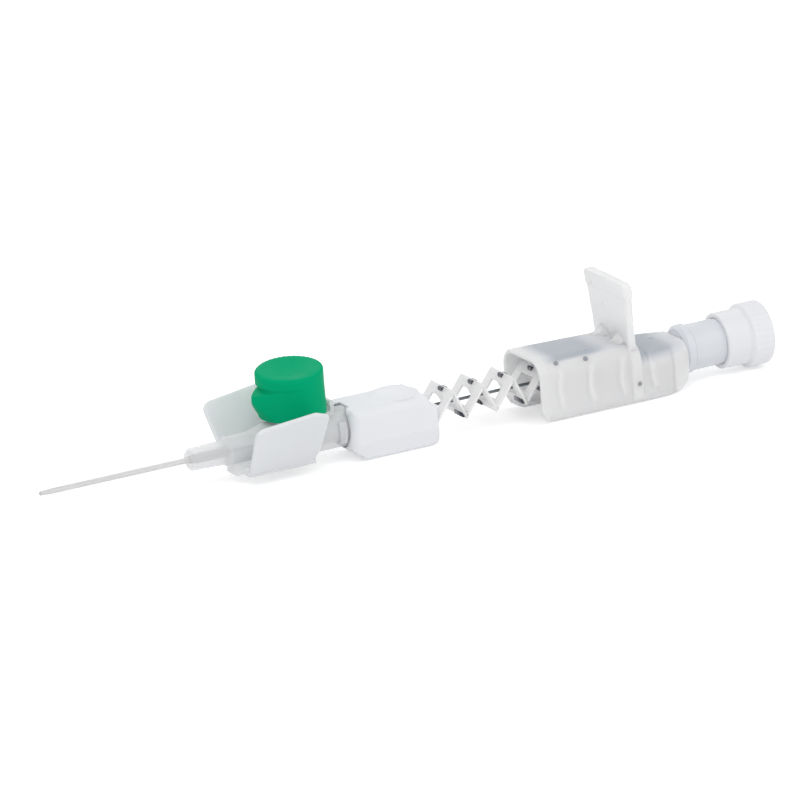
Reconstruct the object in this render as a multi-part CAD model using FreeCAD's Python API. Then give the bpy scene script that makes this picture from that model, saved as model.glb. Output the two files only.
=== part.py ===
import FreeCAD, Part
import math
import os

# Ported safety cannula for a vein, lying on a tray with its needle partly drawn back.
# X runs along the needle, from the catheter's tip (-X) to the vent cap (+X). Y is across, Z is up.
# The origin is on the needle's axis, just in front of the hub's nose, where the catheter tube's flare
# starts.
# All sizes are millimetres.

V = FreeCAD.Vector

# Clearances and fits
NEEDLE_FIT = 0.06        # radial, needle in the tube, in the guard and in its back plate
NOSE_FIT = 0.05          # radial, guard nose in the hub's luer bore
CAP_FIT = 0.05           # radial, vent cap on the flash chamber
BEAD_FIT = 0.05          # radial, film hinge bead in its groove
PART_GAP = 0.3           # between pieces of different bodies that only face each other

# Needle
NEEDLE_RADIUS = 0.25
NEEDLE_BORE_RADIUS = 0.15
NEEDLE_TIP_X = 0.1
BEVEL_ANGLE = 17.0       # degrees, between the bevel and the needle's axis

# Catheter tube
TUBE_WALL = 0.14
TUBE_REACH = 25.5        # from the origin to the tip
TIP_WALL = 0.05
TIP_TAPER = 1.6
FLARE_LENGTH = 1.2       # the taper that seats in the nose
FLARE_RADIUS = 0.78
FLARE_SEAT = 5.8         # straight length behind the taper, held by the wedge
WEDGE_WALL = 0.14
WEDGE_SPARE = 0.4        # how far the wedge stands out behind the tube

# Catheter hub
NOSE_FACE = 0.3          # from the origin back to the nose's face
NOSE_RADIUS = 1.75
NOSE_ROUND = 0.35
NOSE_ROOT_RADIUS = 1.95
NOSE_LENGTH = 6.2
NECK_RADIUS = 2.45
NECK_START = 7.0
NECK_END = 11.0
HUB_RADIUS = 3.2
HUB_START = 13.6
HUB_LENGTH = 27.5
THROAT_RADIUS = 1.2      # bore between the wedge and the valve
VALVE_START = 15.0
VALVE_LENGTH = 7.6
VALVE_RADIUS = 2.0
VALVE_WALL = 0.7
LUER_RADIUS = 2.3        # at the hub's rear face
LUER_TAPER = 0.03        # radius lost for each millimetre of depth
LUER_LUG_RADIUS = 3.85
LUER_LUG_LENGTH = 1.2
LUER_LUG_FROM_END = 1.3
LUER_LUG_HALF_HEIGHT = 1.7

# Injection port on the hub
PORT_X = 18.9
PORT_TOP = 8.8
PORT_RADIUS = 3.0
PORT_BORE_RADIUS = 2.1
PORT_FLOOR_Z = 2.2
PORT_THROAT_RADIUS = 1.3
PORT_BEAD = 0.25         # how far the rim bead stands out

# Port cap and its strap
CAP_RADIUS = 5.35
CAP_DRAFT = 0.25         # the cap is this much slimmer under its rim than at its skirt
CAP_WALL = 0.85
CAP_LOW = 3.7
CAP_TOP = 11.6
CAP_DISH_RADIUS = 4.6
CAP_DISH_DEPTH = 0.5
CAP_RIM_HEIGHT = 2.0
CAP_RIM_ROUND = 0.3
CAP_TEETH = 24
CAP_TOOTH_DEPTH = 0.14
CAP_TOOTH_GAP = 0.3      # width of the gap between two teeth
CAP_TOOTH_HEIGHT = 0.7
PLUG_FIT = 0.2
PLUG_DEPTH = 0.8
PLUG_TIP_RADIUS = 1.3
LIP_REACH = 2.0          # thumb lip, beyond the cap's side
LIP_NOSE_ROUND = 0.9
LIP_EDGE_Z = 7.5
LIP_TOP_Z = 8.5
STRAP_WALL = 0.7
STRAP_THICK = 0.6
STRAP_HALF_WIDTH = 2.0
BEAD_RADIUS = 0.45
CAP_HINGE_Z = 4.6

# Wings
WING_START = 7.7
WING_LENGTH = 12.8
WING_FRONT_SPAN = 10.0
WING_REAR_SPAN = 11.3
WING_THICK = 0.7
WING_CORNER = 1.8
WING_ANGLE = 58.0        # degrees, how far the wings are raised
WING_HINGE_Y = 4.0
WING_HINGE_Z = -3.2
BASE_THICK = 1.1
BASE_SETBACK = 1.2       # the base starts this far behind the wings
KEEL_HALF_WIDTH = 1.7

# Needle-tip guard
GUARD_LAP = 0.7          # how far the guard reaches over the hub's end
GUARD_LENGTH = 15.0
GUARD_HALF_WIDTH = 4.7
GUARD_SOLE_HALF_WIDTH = 3.9
GUARD_CREASE_Z = -2.2
GUARD_TOP = 3.3
GUARD_TAIL_TOP = 1.6
GUARD_TAIL = 1.3
GUARD_TAIL_SLOPE = 0.3
GUARD_CHIN_RISE = 2.1    # of the sloped front underneath
GUARD_CHIN_RUN = 2.8
GUARD_TOP_ROUND = 1.4
GUARD_FRONT_ROUND = 0.9
GUARD_SOLE_ROUND = 1.2
GUARD_EDGE = 0.4
GUARD_WALL = 0.8
GUARD_BOSS_BACK = 5.3    # from the boss's middle to the guard's rear
GUARD_BOSS_RADIUS = 4.0
GUARD_BOSS_HEIGHT = 0.75
GUARD_BOSS_FLAT = 2.7    # radius inside which the boss is almost flat
HUB_RECESS = 1.1
NOSE_NECK_RADIUS = 1.7   # where the guard's nose passes through the front wall
NOSE_SNAP = 0.25         # how far its snap ring stands out behind the wall
CLIP_INSIDE = 4.7        # from the guard's front to the clip
CLIP_THICK = 0.2
CLIP_HALF_WIDTH = 1.6
CLIP_HEIGHT = 4.6
CLIP_ARM = 5.5
CLIP_ARM_DROP = 1.2

# Folding strip
PANEL_PAIRS = 7
FOLD_PITCH = 5.3
FOLD_LEAD = 2.0          # from a top fold back to the next bottom fold
FOLD_TOP = 2.45
FOLD_LOW = -1.75
STRIP_HALF_WIDTH = 3.8
STRIP_THICK = 0.4
WINDOW_HALF_WIDTH = 1.9
WINDOW_MARGIN = 1.3      # from a fold line to the window
KNUCKLE_LONG = 1.0       # along the needle
KNUCKLE_HIGH = 0.8
KNUCKLE_INSET = 0.2      # from the fold line to the knuckle's middle
TOP_KNUCKLE_HALF_WIDTH = 0.65
LOW_KNUCKLE_START = 0.5
LOW_KNUCKLE_END = 3.3

# Grip barrel
SOLE = -5.3              # lowest level of the barrel and of the guard
BARREL_AHEAD = 19.8      # from the strip's anchor to the barrel's front
BARREL_BEHIND = 7.6      # from the strip's anchor to the barrel's rear
BARREL_HALF_WIDTH = 6.3
BARREL_TOP = 5.0
BARREL_TOP_REAR = 4.5    # roof level where it meets the finger tab
BARREL_WALL = 0.7
BARREL_ROUND = 2.0       # along the lower edges
BARREL_TOP_ROUND = 3.2   # along the upper edges
BARREL_CORNER = 2.8      # front and rear lower corners, as seen from the side
TAIL_TOP = 2.7
TAIL_TOP_ROUND = 1.2
TAIL_TAPER = 4.5
TAIL_HALF_WIDTH = 4.6    # of the rear face
REAR_WALL = 2.2
SLOT_HALF_WIDTH = 4.5
SLOT_SETBACK = 1.5       # from the rear wall's inside to the slot underneath
RIB_COUNT = 4
RIB_FIRST = 3.1          # from the barrel's front to the first rib
RIB_PITCH = 5.5
RIB_HEIGHT = 6.0
RIB_WIDTH = 0.7
RIB_PROUD = 0.35
RIB_BEND_RADIUS = 9.0

# Finger tab
TAB_AHEAD = 3.0          # from the strip's anchor to the tab
TAB_THICK = 1.2
TAB_TOP = 14.6
TAB_HALF_WIDTH_LOW = 5.8
TAB_HALF_WIDTH_TOP = 6.7
TAB_WAIST = 2.0          # height over the roof where the tab is slimmest
TAB_CORNER = 1.6
TAB_LEAN = 4.0           # degrees, how far the tab leans forwards
TAB_LIP_HEIGHT = 2.6
TAB_LIP_PROUD = 0.2
TAB_FOOT = 2.6
TAB_ARCH_RADIUS = 2.2
SADDLE_PROUD = 0.3
SADDLE_LENGTH = 1.9
SADDLE_LOW = 0.6         # above the sole

# Needle hub, flash chamber and vent cap
ANCHOR_THICK = 0.9
ANCHOR_ROUND = 0.6
ANCHOR_LOW = -3.0
ANCHOR_HIGH = 1.8
HUB_NOSE_RADIUS = 1.5
HUB_SHAFT_RADIUS = 2.1
HUB_PLUG_LENGTH = 3.4
NEEDLE_GLUE_DEPTH = 7.0
CHAMBER_RADIUS = 3.65
CHAMBER_WALL = 0.75
CHAMBER_LENGTH = 13.0
COLLAR_LENGTH = 1.6
COLLAR_PROUD = 0.25
FILTER_LENGTH = 2.0
VENT_LAP = 5.8           # how far the cap's sleeve reaches over the chamber
VENT_BEHIND = 2.2        # from the chamber's end to the cap's end
VENT_SLEEVE_WALL = 0.75
VENT_RING_LENGTH = 3.5
VENT_RING_RADIUS = 5.05
VENT_RIBS = 20
VENT_RIB_DEPTH = 0.16
VENT_RIB_GAP = 0.25      # half the width of the groove between two ribs
VENT_DISH_DEPTH = 0.7
VENT_EDGE = 0.3

# Values that follow from the sizes above
TUBE_BORE_RADIUS = NEEDLE_RADIUS + NEEDLE_FIT
TUBE_RADIUS = TUBE_BORE_RADIUS + TUBE_WALL
FLARE_BORE_RADIUS = FLARE_RADIUS - TUBE_WALL
TUBE_END = FLARE_LENGTH + FLARE_SEAT
VALVE_END = VALVE_START + VALVE_LENGTH
CAP_INNER_RADIUS = CAP_RADIUS - CAP_WALL
CAP_DECK_Z = PORT_TOP + PART_GAP
CAP_HINGE_X = PORT_X + CAP_RADIUS + BEAD_RADIUS + BEAD_FIT
GUARD_FRONT = HUB_LENGTH - GUARD_LAP
GUARD_REAR = GUARD_FRONT + GUARD_LENGTH
GUARD_BOSS_X = GUARD_REAR - GUARD_BOSS_BACK
CLIP_X = GUARD_FRONT + CLIP_INSIDE
STRIP_START = GUARD_REAR + STRIP_THICK / 4
STRIP_END = STRIP_START + PANEL_PAIRS * FOLD_PITCH
BARREL_FRONT = STRIP_END - BARREL_AHEAD
BARREL_REAR = STRIP_END + BARREL_BEHIND
TAIL_START = STRIP_END
BARREL_INNER_REAR = BARREL_REAR - REAR_WALL
RIB_FIRST_X = BARREL_FRONT + RIB_FIRST
TAB_X = STRIP_END - TAB_AHEAD
CHAMBER_REAR = BARREL_REAR + CHAMBER_LENGTH
VENT_CAP_FRONT = CHAMBER_REAR - VENT_LAP
VENT_CAP_REAR = CHAMBER_REAR + VENT_BEHIND
VENT_RING_START = VENT_CAP_REAR - VENT_RING_LENGTH
CHAMBER_BORE_RADIUS = CHAMBER_RADIUS - CHAMBER_WALL
VENT_SLEEVE_RADIUS = CHAMBER_RADIUS + CAP_FIT + VENT_SLEEVE_WALL
NEEDLE_END_X = STRIP_END + NEEDLE_GLUE_DEPTH
OVERSHOOT = 1.0          # how far a cutting solid runs past the face that it opens


def on_xz(y):
    return lambda a, b: V(a, y, b)


def on_xy(z):
    return lambda a, b: V(a, b, z)


def on_yz(x):
    return lambda a, b: V(x, a, b)


def rounded_outline(corners, place):
    """Closed wire through corners (a, b, radius). Each corner is an arc tangent to both its sides."""
    arcs = []
    for i, (a, b, radius) in enumerate(corners):
        corner = place(a, b)
        before = place(*corners[i - 1][:2])
        after = place(*corners[(i + 1) % len(corners)][:2])
        back = (before - corner).normalize()
        ahead = (after - corner).normalize()
        half = back.getAngle(ahead) / 2
        inward = (back + ahead).normalize()
        reach = radius / math.tan(half)
        middle = corner + inward * (radius / math.sin(half) - radius)
        arcs.append((corner + back * reach, middle, corner + ahead * reach, radius))
    edges = []
    for i, (start, middle, end, radius) in enumerate(arcs):
        last_end = arcs[i - 1][2]
        if last_end.distanceToPoint(start) > 1e-6:
            edges.append(Part.LineSegment(last_end, start).toShape())
        if radius > 0:
            edges.append(Part.Arc(start, middle, end).toShape())
    return Part.Wire(edges)


def prism_x(corners, x_low, x_high):
    """Outline in (y, z) carried along X."""
    return Part.Face(rounded_outline(corners, on_yz(x_low))).extrude(V(x_high - x_low, 0, 0))


def prism_y(corners, y_low, y_high):
    """Outline in (x, z) carried along Y."""
    return Part.Face(rounded_outline(corners, on_xz(y_low))).extrude(V(0, y_high - y_low, 0))


def prism_z(corners, z_low, z_high):
    """Outline in (x, y) carried along Z."""
    return Part.Face(rounded_outline(corners, on_xy(z_low))).extrude(V(0, 0, z_high - z_low))


def turned(profile, axis_x=None):
    """Profile of (x, radius) turned about the needle's axis, or (radius, z) about a vertical at axis_x."""
    if axis_x is None:
        points = [V(x, 0, radius) for x, radius in profile]
        centre = V(0, 0, 0)
        direction = V(1, 0, 0)
    else:
        points = [V(axis_x + radius, 0, z) for radius, z in profile]
        centre = V(axis_x, 0, 0)
        direction = V(0, 0, 1)
    return Part.Face(Part.makePolygon(points + points[:1])).revolve(centre, direction, 360)


def rod_x(x_low, x_high, radius):
    return Part.makeCylinder(radius, x_high - x_low, V(x_low, 0, 0), V(1, 0, 0))


def rod_y(x, z, radius, y_low, y_high):
    return Part.makeCylinder(radius, y_high - y_low, V(x, y_low, z), V(0, 1, 0))


def rod_z(x, radius, z_low, z_high):
    return Part.makeCylinder(radius, z_high - z_low, V(x, 0, z_low), V(0, 0, 1))


def box(x_low, x_high, y_low, y_high, z_low, z_high):
    return Part.makeBox(x_high - x_low, y_high - y_low, z_high - z_low, V(x_low, y_low, z_low))


def rotated_copies(shape, count, centre, axis):
    """Copies of a shape at even angles round an axis."""
    copies = []
    for i in range(count):
        one = shape.copy()
        one.rotate(centre, axis, 360 * i / count)
        copies.append(one)
    return copies


def luer_radius(x):
    """Radius of the hub's tapered luer bore at x."""
    return LUER_RADIUS - LUER_TAPER * (HUB_LENGTH - x)


def catheter_tube():
    """Thin tube with a tapered tip, flared where the wedge holds it in the hub."""
    return turned([
        (-TUBE_REACH, TUBE_BORE_RADIUS),
        (-TUBE_REACH, TUBE_BORE_RADIUS + TIP_WALL),
        (-TUBE_REACH + TIP_TAPER, TUBE_RADIUS),
        (0, TUBE_RADIUS),
        (FLARE_LENGTH, FLARE_RADIUS),
        (TUBE_END, FLARE_RADIUS),
        (TUBE_END, FLARE_BORE_RADIUS),
        (FLARE_LENGTH, FLARE_BORE_RADIUS),
        (0, TUBE_BORE_RADIUS),
    ])


def tube_wedge():
    """Steel sleeve pressed into the flare, with a sharp-edged bell mouth that leads the needle in."""
    rear = TUBE_END + WEDGE_SPARE
    return turned([
        (FLARE_LENGTH, FLARE_BORE_RADIUS - WEDGE_WALL),
        (FLARE_LENGTH, FLARE_BORE_RADIUS),
        (TUBE_END, FLARE_BORE_RADIUS),
        (rear, FLARE_RADIUS),
        (TUBE_END, FLARE_BORE_RADIUS - WEDGE_WALL),
    ])


def hub_body():
    """Turned outside of the hub, from the nose face to the luer end."""
    return turned([
        (NOSE_FACE, 0),
        (NOSE_FACE, NOSE_RADIUS - NOSE_ROUND),
        (NOSE_FACE + NOSE_ROUND, NOSE_RADIUS),
        (NOSE_LENGTH, NOSE_ROOT_RADIUS),
        (NECK_START, NECK_RADIUS),
        (NECK_END, NECK_RADIUS),
        (HUB_START, HUB_RADIUS),
        (HUB_LENGTH, HUB_RADIUS),
        (HUB_LENGTH, 0),
    ])


def hub_bore():
    """Room for the tube's flare, the wedge, the valve and the luer taper, as one turned cutter."""
    past_end = HUB_LENGTH + OVERSHOOT
    return turned([
        (0, 0),
        (0, TUBE_RADIUS),
        (FLARE_LENGTH, FLARE_RADIUS),
        (TUBE_END, FLARE_RADIUS),
        (TUBE_END, THROAT_RADIUS),
        (VALVE_START, THROAT_RADIUS),
        (VALVE_START, VALVE_RADIUS),
        (VALVE_END, VALVE_RADIUS),
        (VALVE_END, luer_radius(VALVE_END)),
        (past_end, luer_radius(past_end)),
        (past_end, 0),
    ])


def wing_base():
    """Flat base under the hub that carries both wings, joined to the hub by a keel."""
    low = WING_HINGE_Z - BASE_THICK / 2
    high = WING_HINGE_Z + BASE_THICK / 2
    end = WING_START + WING_LENGTH
    base = box(WING_START + BASE_SETBACK, end, -WING_HINGE_Y, WING_HINGE_Y, low, high)
    base = base.fuse(box(WING_START, end, -KEEL_HALF_WIDTH, KEEL_HALF_WIDTH, low, 0))
    groove_radius = BEAD_RADIUS + BEAD_FIT
    for side in (-1, 1):
        groove = Part.makeCylinder(groove_radius, WING_LENGTH + 2 * OVERSHOOT,
                                   V(WING_START - OVERSHOOT, side * WING_HINGE_Y, WING_HINGE_Z), V(1, 0, 0))
        edge_in = WING_HINGE_Y - groove_radius * math.sin(math.radians(45))
        edge = box(WING_START - OVERSHOOT, end + OVERSHOOT, edge_in, WING_HINGE_Y + OVERSHOOT,
                   low - OVERSHOOT, high + OVERSHOOT)
        if side < 0:
            edge = edge.mirror(V(0, 0, 0), V(0, 1, 0))
        base = base.cut(groove).cut(edge)
    return base


def catheter_hub():
    """Clear hub: nose, port tower, wing base, and two luer lugs at its rear."""
    lug_end = HUB_LENGTH - LUER_LUG_FROM_END
    lugs = rod_x(lug_end - LUER_LUG_LENGTH, lug_end, LUER_LUG_RADIUS)
    lugs = lugs.common(box(0, HUB_LENGTH, -LUER_LUG_RADIUS, LUER_LUG_RADIUS,
                           -LUER_LUG_HALF_HEIGHT, LUER_LUG_HALF_HEIGHT))
    tower = rod_z(PORT_X, PORT_RADIUS, 0, PORT_TOP)
    rim_bead = turned([
        (PORT_RADIUS - PORT_BEAD, PORT_TOP - 4 * PORT_BEAD),
        (PORT_RADIUS, PORT_TOP - 4 * PORT_BEAD),
        (PORT_RADIUS + PORT_BEAD, PORT_TOP - 2 * PORT_BEAD),
        (PORT_RADIUS - PORT_BEAD, PORT_TOP),
    ], PORT_X)
    hub = hub_body().fuse([lugs, tower, rim_bead, wing_base()])
    port_bore = rod_z(PORT_X, PORT_BORE_RADIUS, PORT_FLOOR_Z, PORT_TOP + OVERSHOOT)
    port_bore = port_bore.fuse(rod_z(PORT_X, PORT_THROAT_RADIUS, 0, PORT_FLOOR_Z))
    return hub.cut(hub_bore()).cut(port_bore).removeSplitter()


def port_valve():
    """Silicone sleeve that closes the port from inside until fluid pushes it in."""
    sleeve = rod_x(VALVE_START, VALVE_END, VALVE_RADIUS)
    return sleeve.cut(rod_x(VALVE_START - OVERSHOOT, VALVE_END + OVERSHOOT, VALVE_RADIUS - VALVE_WALL))


def port_strap():
    """Ring pressed on the tower under the cap, with a strap up to the film hinge behind the cap."""
    ring_high = CAP_LOW - PART_GAP
    ring_low = ring_high - STRAP_WALL
    strap_end = CAP_HINGE_X + STRAP_THICK / 2
    ring = rod_z(PORT_X, PORT_RADIUS + STRAP_WALL, ring_low, ring_high)
    foot = box(PORT_X, strap_end, -STRAP_HALF_WIDTH, STRAP_HALF_WIDTH, ring_low, ring_high)
    leg = box(CAP_HINGE_X - STRAP_THICK / 2, strap_end, -STRAP_HALF_WIDTH, STRAP_HALF_WIDTH,
              ring_low, CAP_HINGE_Z)
    bead = rod_y(CAP_HINGE_X, CAP_HINGE_Z, BEAD_RADIUS, -STRAP_HALF_WIDTH, STRAP_HALF_WIDTH)
    strap = ring.fuse([foot, leg, bead])
    strap = strap.cut(rod_z(PORT_X, PORT_RADIUS, ring_low - OVERSHOOT, ring_high + OVERSHOOT))
    return strap.cut(rod_x(0, HUB_LENGTH, HUB_RADIUS)).removeSplitter()


def cap_lip():
    """Thumb lip: its sides leave the cap at a tangent and meet in a round nose, its top slopes down a
    little and its underside runs back to the skirt."""
    reach = CAP_RADIUS + LIP_REACH
    touch = math.acos(CAP_RADIUS / reach)
    touch_x = PORT_X - CAP_RADIUS * math.cos(touch)
    touch_y = CAP_RADIUS * math.sin(touch)
    plan = prism_z([
        (PORT_X - reach, 0, LIP_NOSE_ROUND),
        (touch_x, -touch_y, 0),
        (PORT_X - PORT_RADIUS, 0, 0),
        (touch_x, touch_y, 0),
    ], CAP_LOW, LIP_TOP_Z)
    inside_x = PORT_X - PORT_RADIUS
    side_view = prism_y([
        (inside_x, LIP_TOP_Z, 0),
        (PORT_X - CAP_RADIUS, LIP_TOP_Z, 0),
        (PORT_X - reach, LIP_EDGE_Z, 0.3),
        (PORT_X - CAP_RADIUS + CAP_WALL / 4, CAP_LOW, 0),
        (inside_x, CAP_LOW, 0),
    ], -CAP_RADIUS, CAP_RADIUS)
    lip = plan.common(side_view)
    return lip.cut(rod_z(PORT_X, CAP_INNER_RADIUS, CAP_LOW - OVERSHOOT, LIP_TOP_Z + OVERSHOOT))


def port_cap():
    """Drafted cap with a dished top, a finely toothed rim, a plug for the bore and a thumb lip in front."""
    rim_low = CAP_TOP - CAP_RIM_HEIGHT
    slim_radius = CAP_RADIUS - CAP_DRAFT
    shell = turned([
        (0, CAP_DECK_Z),
        (CAP_INNER_RADIUS, CAP_DECK_Z),
        (CAP_INNER_RADIUS, CAP_LOW),
        (CAP_RADIUS, CAP_LOW),
        (slim_radius, rim_low - CAP_DRAFT),
        (CAP_RADIUS, rim_low),
        (CAP_RADIUS, CAP_TOP - CAP_RIM_ROUND),
        (CAP_RADIUS - CAP_RIM_ROUND, CAP_TOP),
        (CAP_DISH_RADIUS, CAP_TOP),
        (CAP_DISH_RADIUS - CAP_DISH_DEPTH, CAP_TOP - CAP_DISH_DEPTH),
        (0, CAP_TOP - CAP_DISH_DEPTH),
    ], PORT_X)
    plug_radius = PORT_BORE_RADIUS - PLUG_FIT
    plug = turned([
        (0, PORT_TOP - PLUG_DEPTH),
        (PLUG_TIP_RADIUS, PORT_TOP - PLUG_DEPTH),
        (plug_radius, PORT_TOP),
        (plug_radius, CAP_DECK_Z + PLUG_FIT),
        (0, CAP_DECK_Z + PLUG_FIT),
    ], PORT_X)
    hinge_block = box(PORT_X + CAP_INNER_RADIUS + CAP_WALL / 2, CAP_HINGE_X - BEAD_RADIUS + BEAD_FIT,
                      -STRAP_HALF_WIDTH, STRAP_HALF_WIDTH,
                      CAP_HINGE_Z - BEAD_RADIUS, CAP_HINGE_Z + BEAD_RADIUS)
    hinge_block = hinge_block.cut(rod_y(CAP_HINGE_X, CAP_HINGE_Z, BEAD_RADIUS + BEAD_FIT,
                                        -CAP_RADIUS, CAP_RADIUS))
    cap = shell.fuse([plug, cap_lip(), hinge_block])
    gap = prism_z([
        (PORT_X + CAP_RADIUS - CAP_TOOTH_DEPTH, 0, 0),
        (PORT_X + CAP_RADIUS + CAP_TOOTH_DEPTH, -CAP_TOOTH_GAP, 0),
        (PORT_X + CAP_RADIUS + CAP_TOOTH_DEPTH, CAP_TOOTH_GAP, 0),
    ], CAP_TOP - CAP_TOOTH_HEIGHT, CAP_TOP + OVERSHOOT)
    return cap.cut(rotated_copies(gap, CAP_TEETH, V(PORT_X, 0, 0), V(0, 0, 1))).removeSplitter()


def wing(side):
    """Flat wing with a bead along its root, laid out flat and then raised about the film hinge."""
    end = WING_START + WING_LENGTH
    plate = prism_z([
        (WING_START, 0, 0),
        (WING_START, WING_FRONT_SPAN, WING_CORNER),
        (end - WING_LENGTH / 5, WING_REAR_SPAN, WING_CORNER),
        (end, WING_REAR_SPAN * 0.9, WING_CORNER / 2),
        (end, WING_REAR_SPAN * 0.22, WING_CORNER / 2),
        (end - WING_LENGTH / 12, 0, 0),
    ], -WING_THICK / 2, WING_THICK / 2)
    bead = Part.makeCylinder(BEAD_RADIUS, WING_LENGTH * 11 / 12, V(WING_START, 0, 0), V(1, 0, 0))
    flat = plate.fuse(bead).removeSplitter()
    flat.rotate(V(0, 0, 0), V(1, 0, 0), WING_ANGLE)
    flat.translate(V(0, WING_HINGE_Y, WING_HINGE_Z))
    if side < 0:
        flat = flat.mirror(V(0, 0, 0), V(0, 1, 0))
    return flat


def guard_block(inset):
    """Rounded block of the guard, drawn in by inset on every side: side view, section and plan in common.
    The drawn-in block is the hollow. It keeps its corners sharp and runs out at the rear."""
    hollow = inset > 0
    soft = 0 if hollow else 1
    half = GUARD_HALF_WIDTH - inset
    sole_half = GUARD_SOLE_HALF_WIDTH - inset
    low = SOLE + inset
    high = GUARD_TOP - inset
    front = GUARD_FRONT + (HUB_RECESS + inset if hollow else 0)
    rear = GUARD_REAR + (OVERSHOOT if hollow else 0)
    tail_x = GUARD_REAR - GUARD_TAIL - inset
    tail_high = GUARD_TAIL_TOP - inset
    side_view = prism_y([
        (front, low + GUARD_CHIN_RISE - inset, GUARD_FRONT_ROUND * soft),
        (front + GUARD_CHIN_RUN, low, GUARD_TOP_ROUND * soft),
        (rear, low, GUARD_SOLE_ROUND * soft),
        (rear, tail_high, GUARD_EDGE * soft),
        (tail_x, tail_high, GUARD_EDGE * soft),
        (tail_x - GUARD_TAIL_SLOPE, high, GUARD_EDGE * soft),
        (front, high, GUARD_FRONT_ROUND * soft),
    ], -half, half)
    section = prism_x([
        (-sole_half, low, GUARD_SOLE_ROUND * soft),
        (sole_half, low, GUARD_SOLE_ROUND * soft),
        (half, GUARD_CREASE_Z, GUARD_EDGE * soft),
        (half, high, GUARD_TOP_ROUND - inset),
        (-half, high, GUARD_TOP_ROUND - inset),
        (-half, GUARD_CREASE_Z, GUARD_EDGE * soft),
    ], front, rear)
    if hollow:
        return side_view.common(section)
    plan = prism_z([
        (front, -half, GUARD_TOP_ROUND),
        (rear, -half, GUARD_EDGE),
        (rear, half, GUARD_EDGE),
        (front, half, GUARD_TOP_ROUND),
    ], low, high)
    return side_view.common(section).common(plan)


def guard_housing():
    """White guard: a hollow rounded block with a low round boss on top and a recess for the hub's end."""
    boss_top = GUARD_TOP + GUARD_BOSS_HEIGHT
    boss = turned([
        (0, GUARD_TOP - GUARD_WALL / 2),
        (GUARD_BOSS_RADIUS, GUARD_TOP - GUARD_WALL / 2),
        (GUARD_BOSS_RADIUS, GUARD_TOP),
        (GUARD_BOSS_FLAT, boss_top - GUARD_BOSS_HEIGHT / 4),
        (0, boss_top),
    ], GUARD_BOSS_X)
    housing = guard_block(0).fuse(boss).cut(guard_block(GUARD_WALL))
    recess = rod_x(GUARD_FRONT - OVERSHOOT, GUARD_FRONT + HUB_RECESS, HUB_RADIUS + PART_GAP)
    nose_hole = rod_x(GUARD_FRONT, GUARD_FRONT + HUB_RECESS + 2 * GUARD_WALL, NOSE_NECK_RADIUS)
    return housing.cut(recess).cut(nose_hole).removeSplitter()


def guard_nose():
    """Taper that plugs into the hub's luer bore, with a neck and a snap ring in the guard's front wall."""
    tip = VALVE_END + PART_GAP
    wall_front = GUARD_FRONT + HUB_RECESS
    wall_rear = wall_front + GUARD_WALL
    bore = NEEDLE_RADIUS + NEEDLE_FIT
    return turned([
        (tip, bore),
        (tip, luer_radius(tip) - NOSE_FIT),
        (wall_front, luer_radius(wall_front) - NOSE_FIT),
        (wall_front, NOSE_NECK_RADIUS),
        (wall_rear, NOSE_NECK_RADIUS),
        (wall_rear, NOSE_NECK_RADIUS + NOSE_SNAP),
        (wall_rear + GUARD_WALL, NOSE_NECK_RADIUS - NOSE_SNAP),
        (wall_rear + GUARD_WALL, bore),
    ])


def guard_back_plate():
    """Plate that closes the guard's rear and holds the first fold of the strip."""
    slice_box = box(GUARD_REAR - GUARD_WALL, GUARD_REAR, -GUARD_HALF_WIDTH, GUARD_HALF_WIDTH,
                    SOLE, GUARD_TAIL_TOP)
    plate = guard_block(GUARD_WALL).common(slice_box)
    hole = rod_x(GUARD_REAR - 2 * GUARD_WALL, GUARD_REAR + OVERSHOOT, NEEDLE_RADIUS + NEEDLE_FIT)
    return plate.cut(hole)


def guard_clip():
    """Folded spring strip: a wall that the needle runs through and an arm bent back above the needle."""
    low = -CLIP_HEIGHT / 2
    high = CLIP_HEIGHT / 2 - PART_GAP
    arm_high = high - CLIP_ARM_DROP
    clip = prism_y([
        (CLIP_X, low, 0),
        (CLIP_X, high, 2 * CLIP_THICK),
        (CLIP_X + CLIP_ARM, arm_high, 0),
        (CLIP_X + CLIP_ARM, arm_high - CLIP_THICK, 0),
        (CLIP_X + CLIP_THICK, high - CLIP_THICK, CLIP_THICK),
        (CLIP_X + CLIP_THICK, low, 0),
    ], -CLIP_HALF_WIDTH, CLIP_HALF_WIDTH)
    hole = rod_x(CLIP_X - OVERSHOOT, CLIP_X + OVERSHOOT, NEEDLE_RADIUS + 2 * NEEDLE_FIT)
    return clip.cut(hole)


def fold_points():
    """Fold lines of the strip in (x, z): bottom, top, bottom and so on, from the guard to the anchor."""
    points = []
    for i in range(PANEL_PAIRS):
        low_x = STRIP_START + i * FOLD_PITCH
        points.append((low_x, FOLD_LOW))
        points.append((low_x + FOLD_PITCH - FOLD_LEAD, FOLD_TOP))
    points.append((STRIP_END, FOLD_LOW))
    return points


def offset_folds(folds, distance):
    """The fold lines moved sideways by distance, mitred where two panels meet."""
    slopes = []
    for (x, z), (next_x, next_z) in zip(folds, folds[1:]):
        slopes.append(math.atan2(next_z - z, next_x - x))
    slopes_in = slopes[:1] + slopes
    slopes_out = slopes + slopes[-1:]
    moved = []
    for (x, z), slope_in, slope_out in zip(folds, slopes_in, slopes_out):
        middle = (slope_in + slope_out) / 2
        reach = distance / math.cos((slope_out - slope_in) / 2)
        moved.append((x - reach * math.sin(middle), z + reach * math.cos(middle)))
    return moved


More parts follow.
